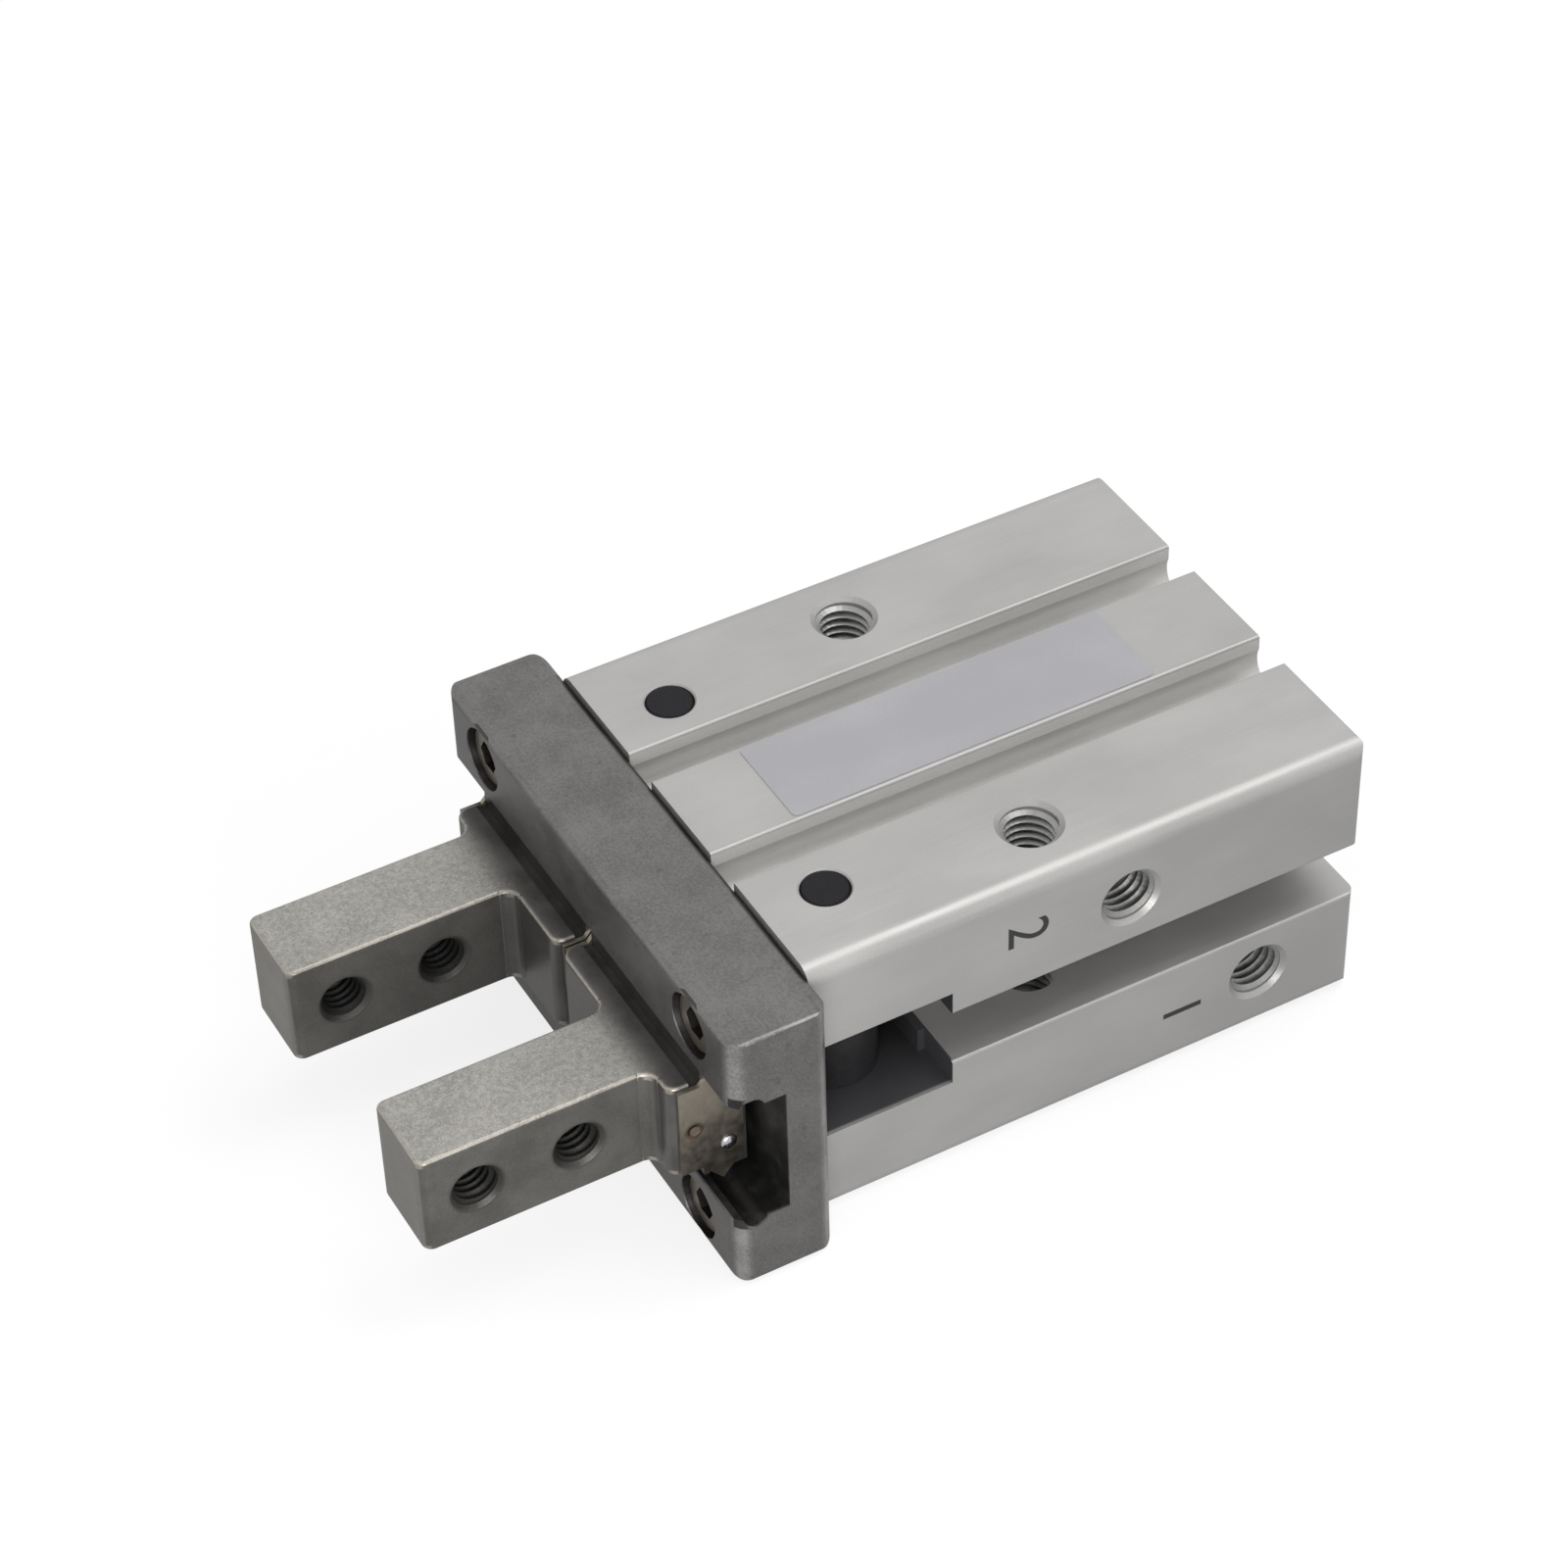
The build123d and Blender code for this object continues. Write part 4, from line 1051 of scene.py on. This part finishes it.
class GRIPPER_OT_stage(bpy.types.Operator):
    """Set the pale floor, the soft studio light and the photograph's camera"""

    bl_idname = "gripper.stage"
    bl_label = "Set the Stage"

    def execute(self, context):
        scene, studio = context.scene, context.scene.gripper_studio
        self.make_floor(studio)
        self.make_sky(scene, studio)
        self.make_lamps()
        self.make_camera(scene, studio)
        scene.view_settings.view_transform = "Standard"
        return {"FINISHED"}

    def make_floor(self, studio):
        """A broad floor just under the body, white in the picture and greyer in the metal."""
        low = CAD_LOW.z - FLOOR_DROP
        signs = ((-1, -1), (1, -1), (1, 1), (-1, 1))
        corners = [(x * FLOOR_REACH, y * FLOOR_REACH, low) for x, y in signs]
        mesh = bpy.data.meshes.new("floor")
        mesh.from_pydata(corners, [], [(0, 1, 2, 3)])
        floor = add_object("floor", mesh)
        paint = Finish("floor_paint", metallic=0.0, roughness=0.6)
        paint.shader.inputs["Specular IOR Level"].default_value = 0.1
        shown, straight = backdrop_rays(paint.tree)
        material = paint.paint(colour=paint.tint(straight, tuple(studio.floor), FLOOR_SEEN))
        extra = straight * (studio.floor_white - studio.floor_mirrored)
        seen = shown * (studio.floor_mirrored + extra)
        white = paint.node("ShaderNodeEmission", inputs={"Color": WHITE, "Strength": 1.0})
        shader = Wire(paint.tree, paint.shader.outputs[0])
        mixed = paint.node("ShaderNodeMixShader", inputs={0: seen, 1: shader, 2: white})
        output = paint.tree.nodes["Material Output"]
        paint.tree.links.new(mixed.socket, output.inputs["Surface"])
        mesh.materials.append(material)

    def make_sky(self, scene, studio):
        """A pale sky, brightest above the rear and darkest below the fingers."""
        world = bpy.data.worlds.new("studio_sky")
        world.use_nodes = True
        tree = world.node_tree
        direction = Wire.node(tree, "ShaderNodeTexCoord", output="Generated")
        lift = Wire.node(
            tree,
            "ShaderNodeVectorMath",
            {"operation": "DOT_PRODUCT"},
            {0: direction, 1: SKY_TOWARDS},
            "Value",
        )
        glow = lift.spread(SKY_DARKEST, SKY_BRIGHTEST, studio.sky_low, studio.sky_high)
        seen, _ = backdrop_rays(tree)
        strength = seen + (1.0 - seen) * glow
        background = tree.nodes["Background"]
        tree.links.new(strength.socket, background.inputs["Strength"])
        background.inputs["Color"].default_value = (*WHITE, 1.0)
        scene.world = world

    def make_lamps(self):
        """Two soft lamps, each turned towards the middle of the gripper."""
        centre = (CAD_LOW + CAD_HIGH) / 2
        for name, place, size, power in LAMPS:
            lamp = bpy.data.lights.new(name, "AREA")
            lamp.shape, lamp.size, lamp.energy = "DISK", size, power
            holder = add_object(name, lamp)
            holder.location = centre + Vector(place)
            holder.rotation_euler = (-Vector(place)).to_track_quat("-Z", "Y").to_euler()

    def make_camera(self, scene, studio):
        """The camera that a fit to the photograph's edges and holes gives."""
        azimuth, elevation, roll = (
            math.radians(angle) for angle in (studio.azimuth, studio.elevation, studio.roll)
        )
        level, up = math.cos(elevation), math.sin(elevation)
        back = Vector((math.sin(azimuth) * level, -math.cos(azimuth) * level, up))
        right = Vector((math.cos(azimuth), math.sin(azimuth), 0.0))
        tilt = Matrix.Rotation(-roll, 3, "Z")
        turn = tilt @ Matrix((right, back.cross(right), back))
        shift = Vector((studio.offset[0], studio.offset[1], -studio.offset[2]))
        lens = bpy.data.cameras.new("photo_camera")
        lens.sensor_width = SENSOR_WIDTH_MM
        lens.lens = studio.focal_pixels / PHOTO_PIXELS * SENSOR_WIDTH_MM
        lens.clip_start, lens.clip_end = 0.01, 50.0
        camera = add_object("photo_camera", lens)
        place = Matrix.Translation(turn.transposed() @ -shift)
        camera.matrix_world = place @ turn.transposed().to_4x4()
        scene.camera = camera


STEPS = (
    GRIPPER_OT_housing,
    GRIPPER_OT_guide,
    GRIPPER_OT_fingers,
    GRIPPER_OT_drive,
    GRIPPER_OT_threads,
    GRIPPER_OT_marks,
    GRIPPER_OT_stage,
)
SETTINGS = {
    "gripper_metals": GripperMetalSettings,
    "gripper_soft": GripperSoftSettings,
    "gripper_guide": GripperGuideSettings,
    "gripper_fingers": GripperFingerSettings,
    "gripper_threads": GripperThreadSettings,
    "gripper_marks": GripperMarkSettings,
    "gripper_studio": GripperStudioSettings,
}


class GRIPPER_PT_panel(bpy.types.Panel):
    """Sizes, colours and build steps of the gripper"""

    bl_idname = "GRIPPER_PT_panel"
    bl_label = "Parallel Gripper"
    bl_space_type = "VIEW_3D"
    bl_region_type = "UI"
    bl_category = "Gripper"

    def draw(self, context):
        for name, group in SETTINGS.items():
            box = self.layout.box()
            settings = getattr(context.scene, name)
            for key in group.__annotations__:
                box.prop(settings, key)
        for step in STEPS:
            self.layout.operator(step.bl_idname)


def register():
    """Register the settings, the operators and the panel."""
    for group in SETTINGS.values():
        bpy.utils.register_class(group)
    for name, group in SETTINGS.items():
        setattr(bpy.types.Scene, name, bpy.props.PointerProperty(type=group))
    for step in (*STEPS, GRIPPER_PT_panel):
        bpy.utils.register_class(step)


def unregister():
    """Take away what register added."""
    for step in reversed((*STEPS, GRIPPER_PT_panel)):
        bpy.utils.unregister_class(step)
    for name in SETTINGS:
        delattr(bpy.types.Scene, name)
    for group in reversed(SETTINGS.values()):
        bpy.utils.unregister_class(group)


def main():
    """Build every piece in order."""
    register()
    for step in STEPS:
        group, name = step.bl_idname.split(".")
        getattr(getattr(bpy.ops, group), name)()


if __name__ == "__main__":
    main()
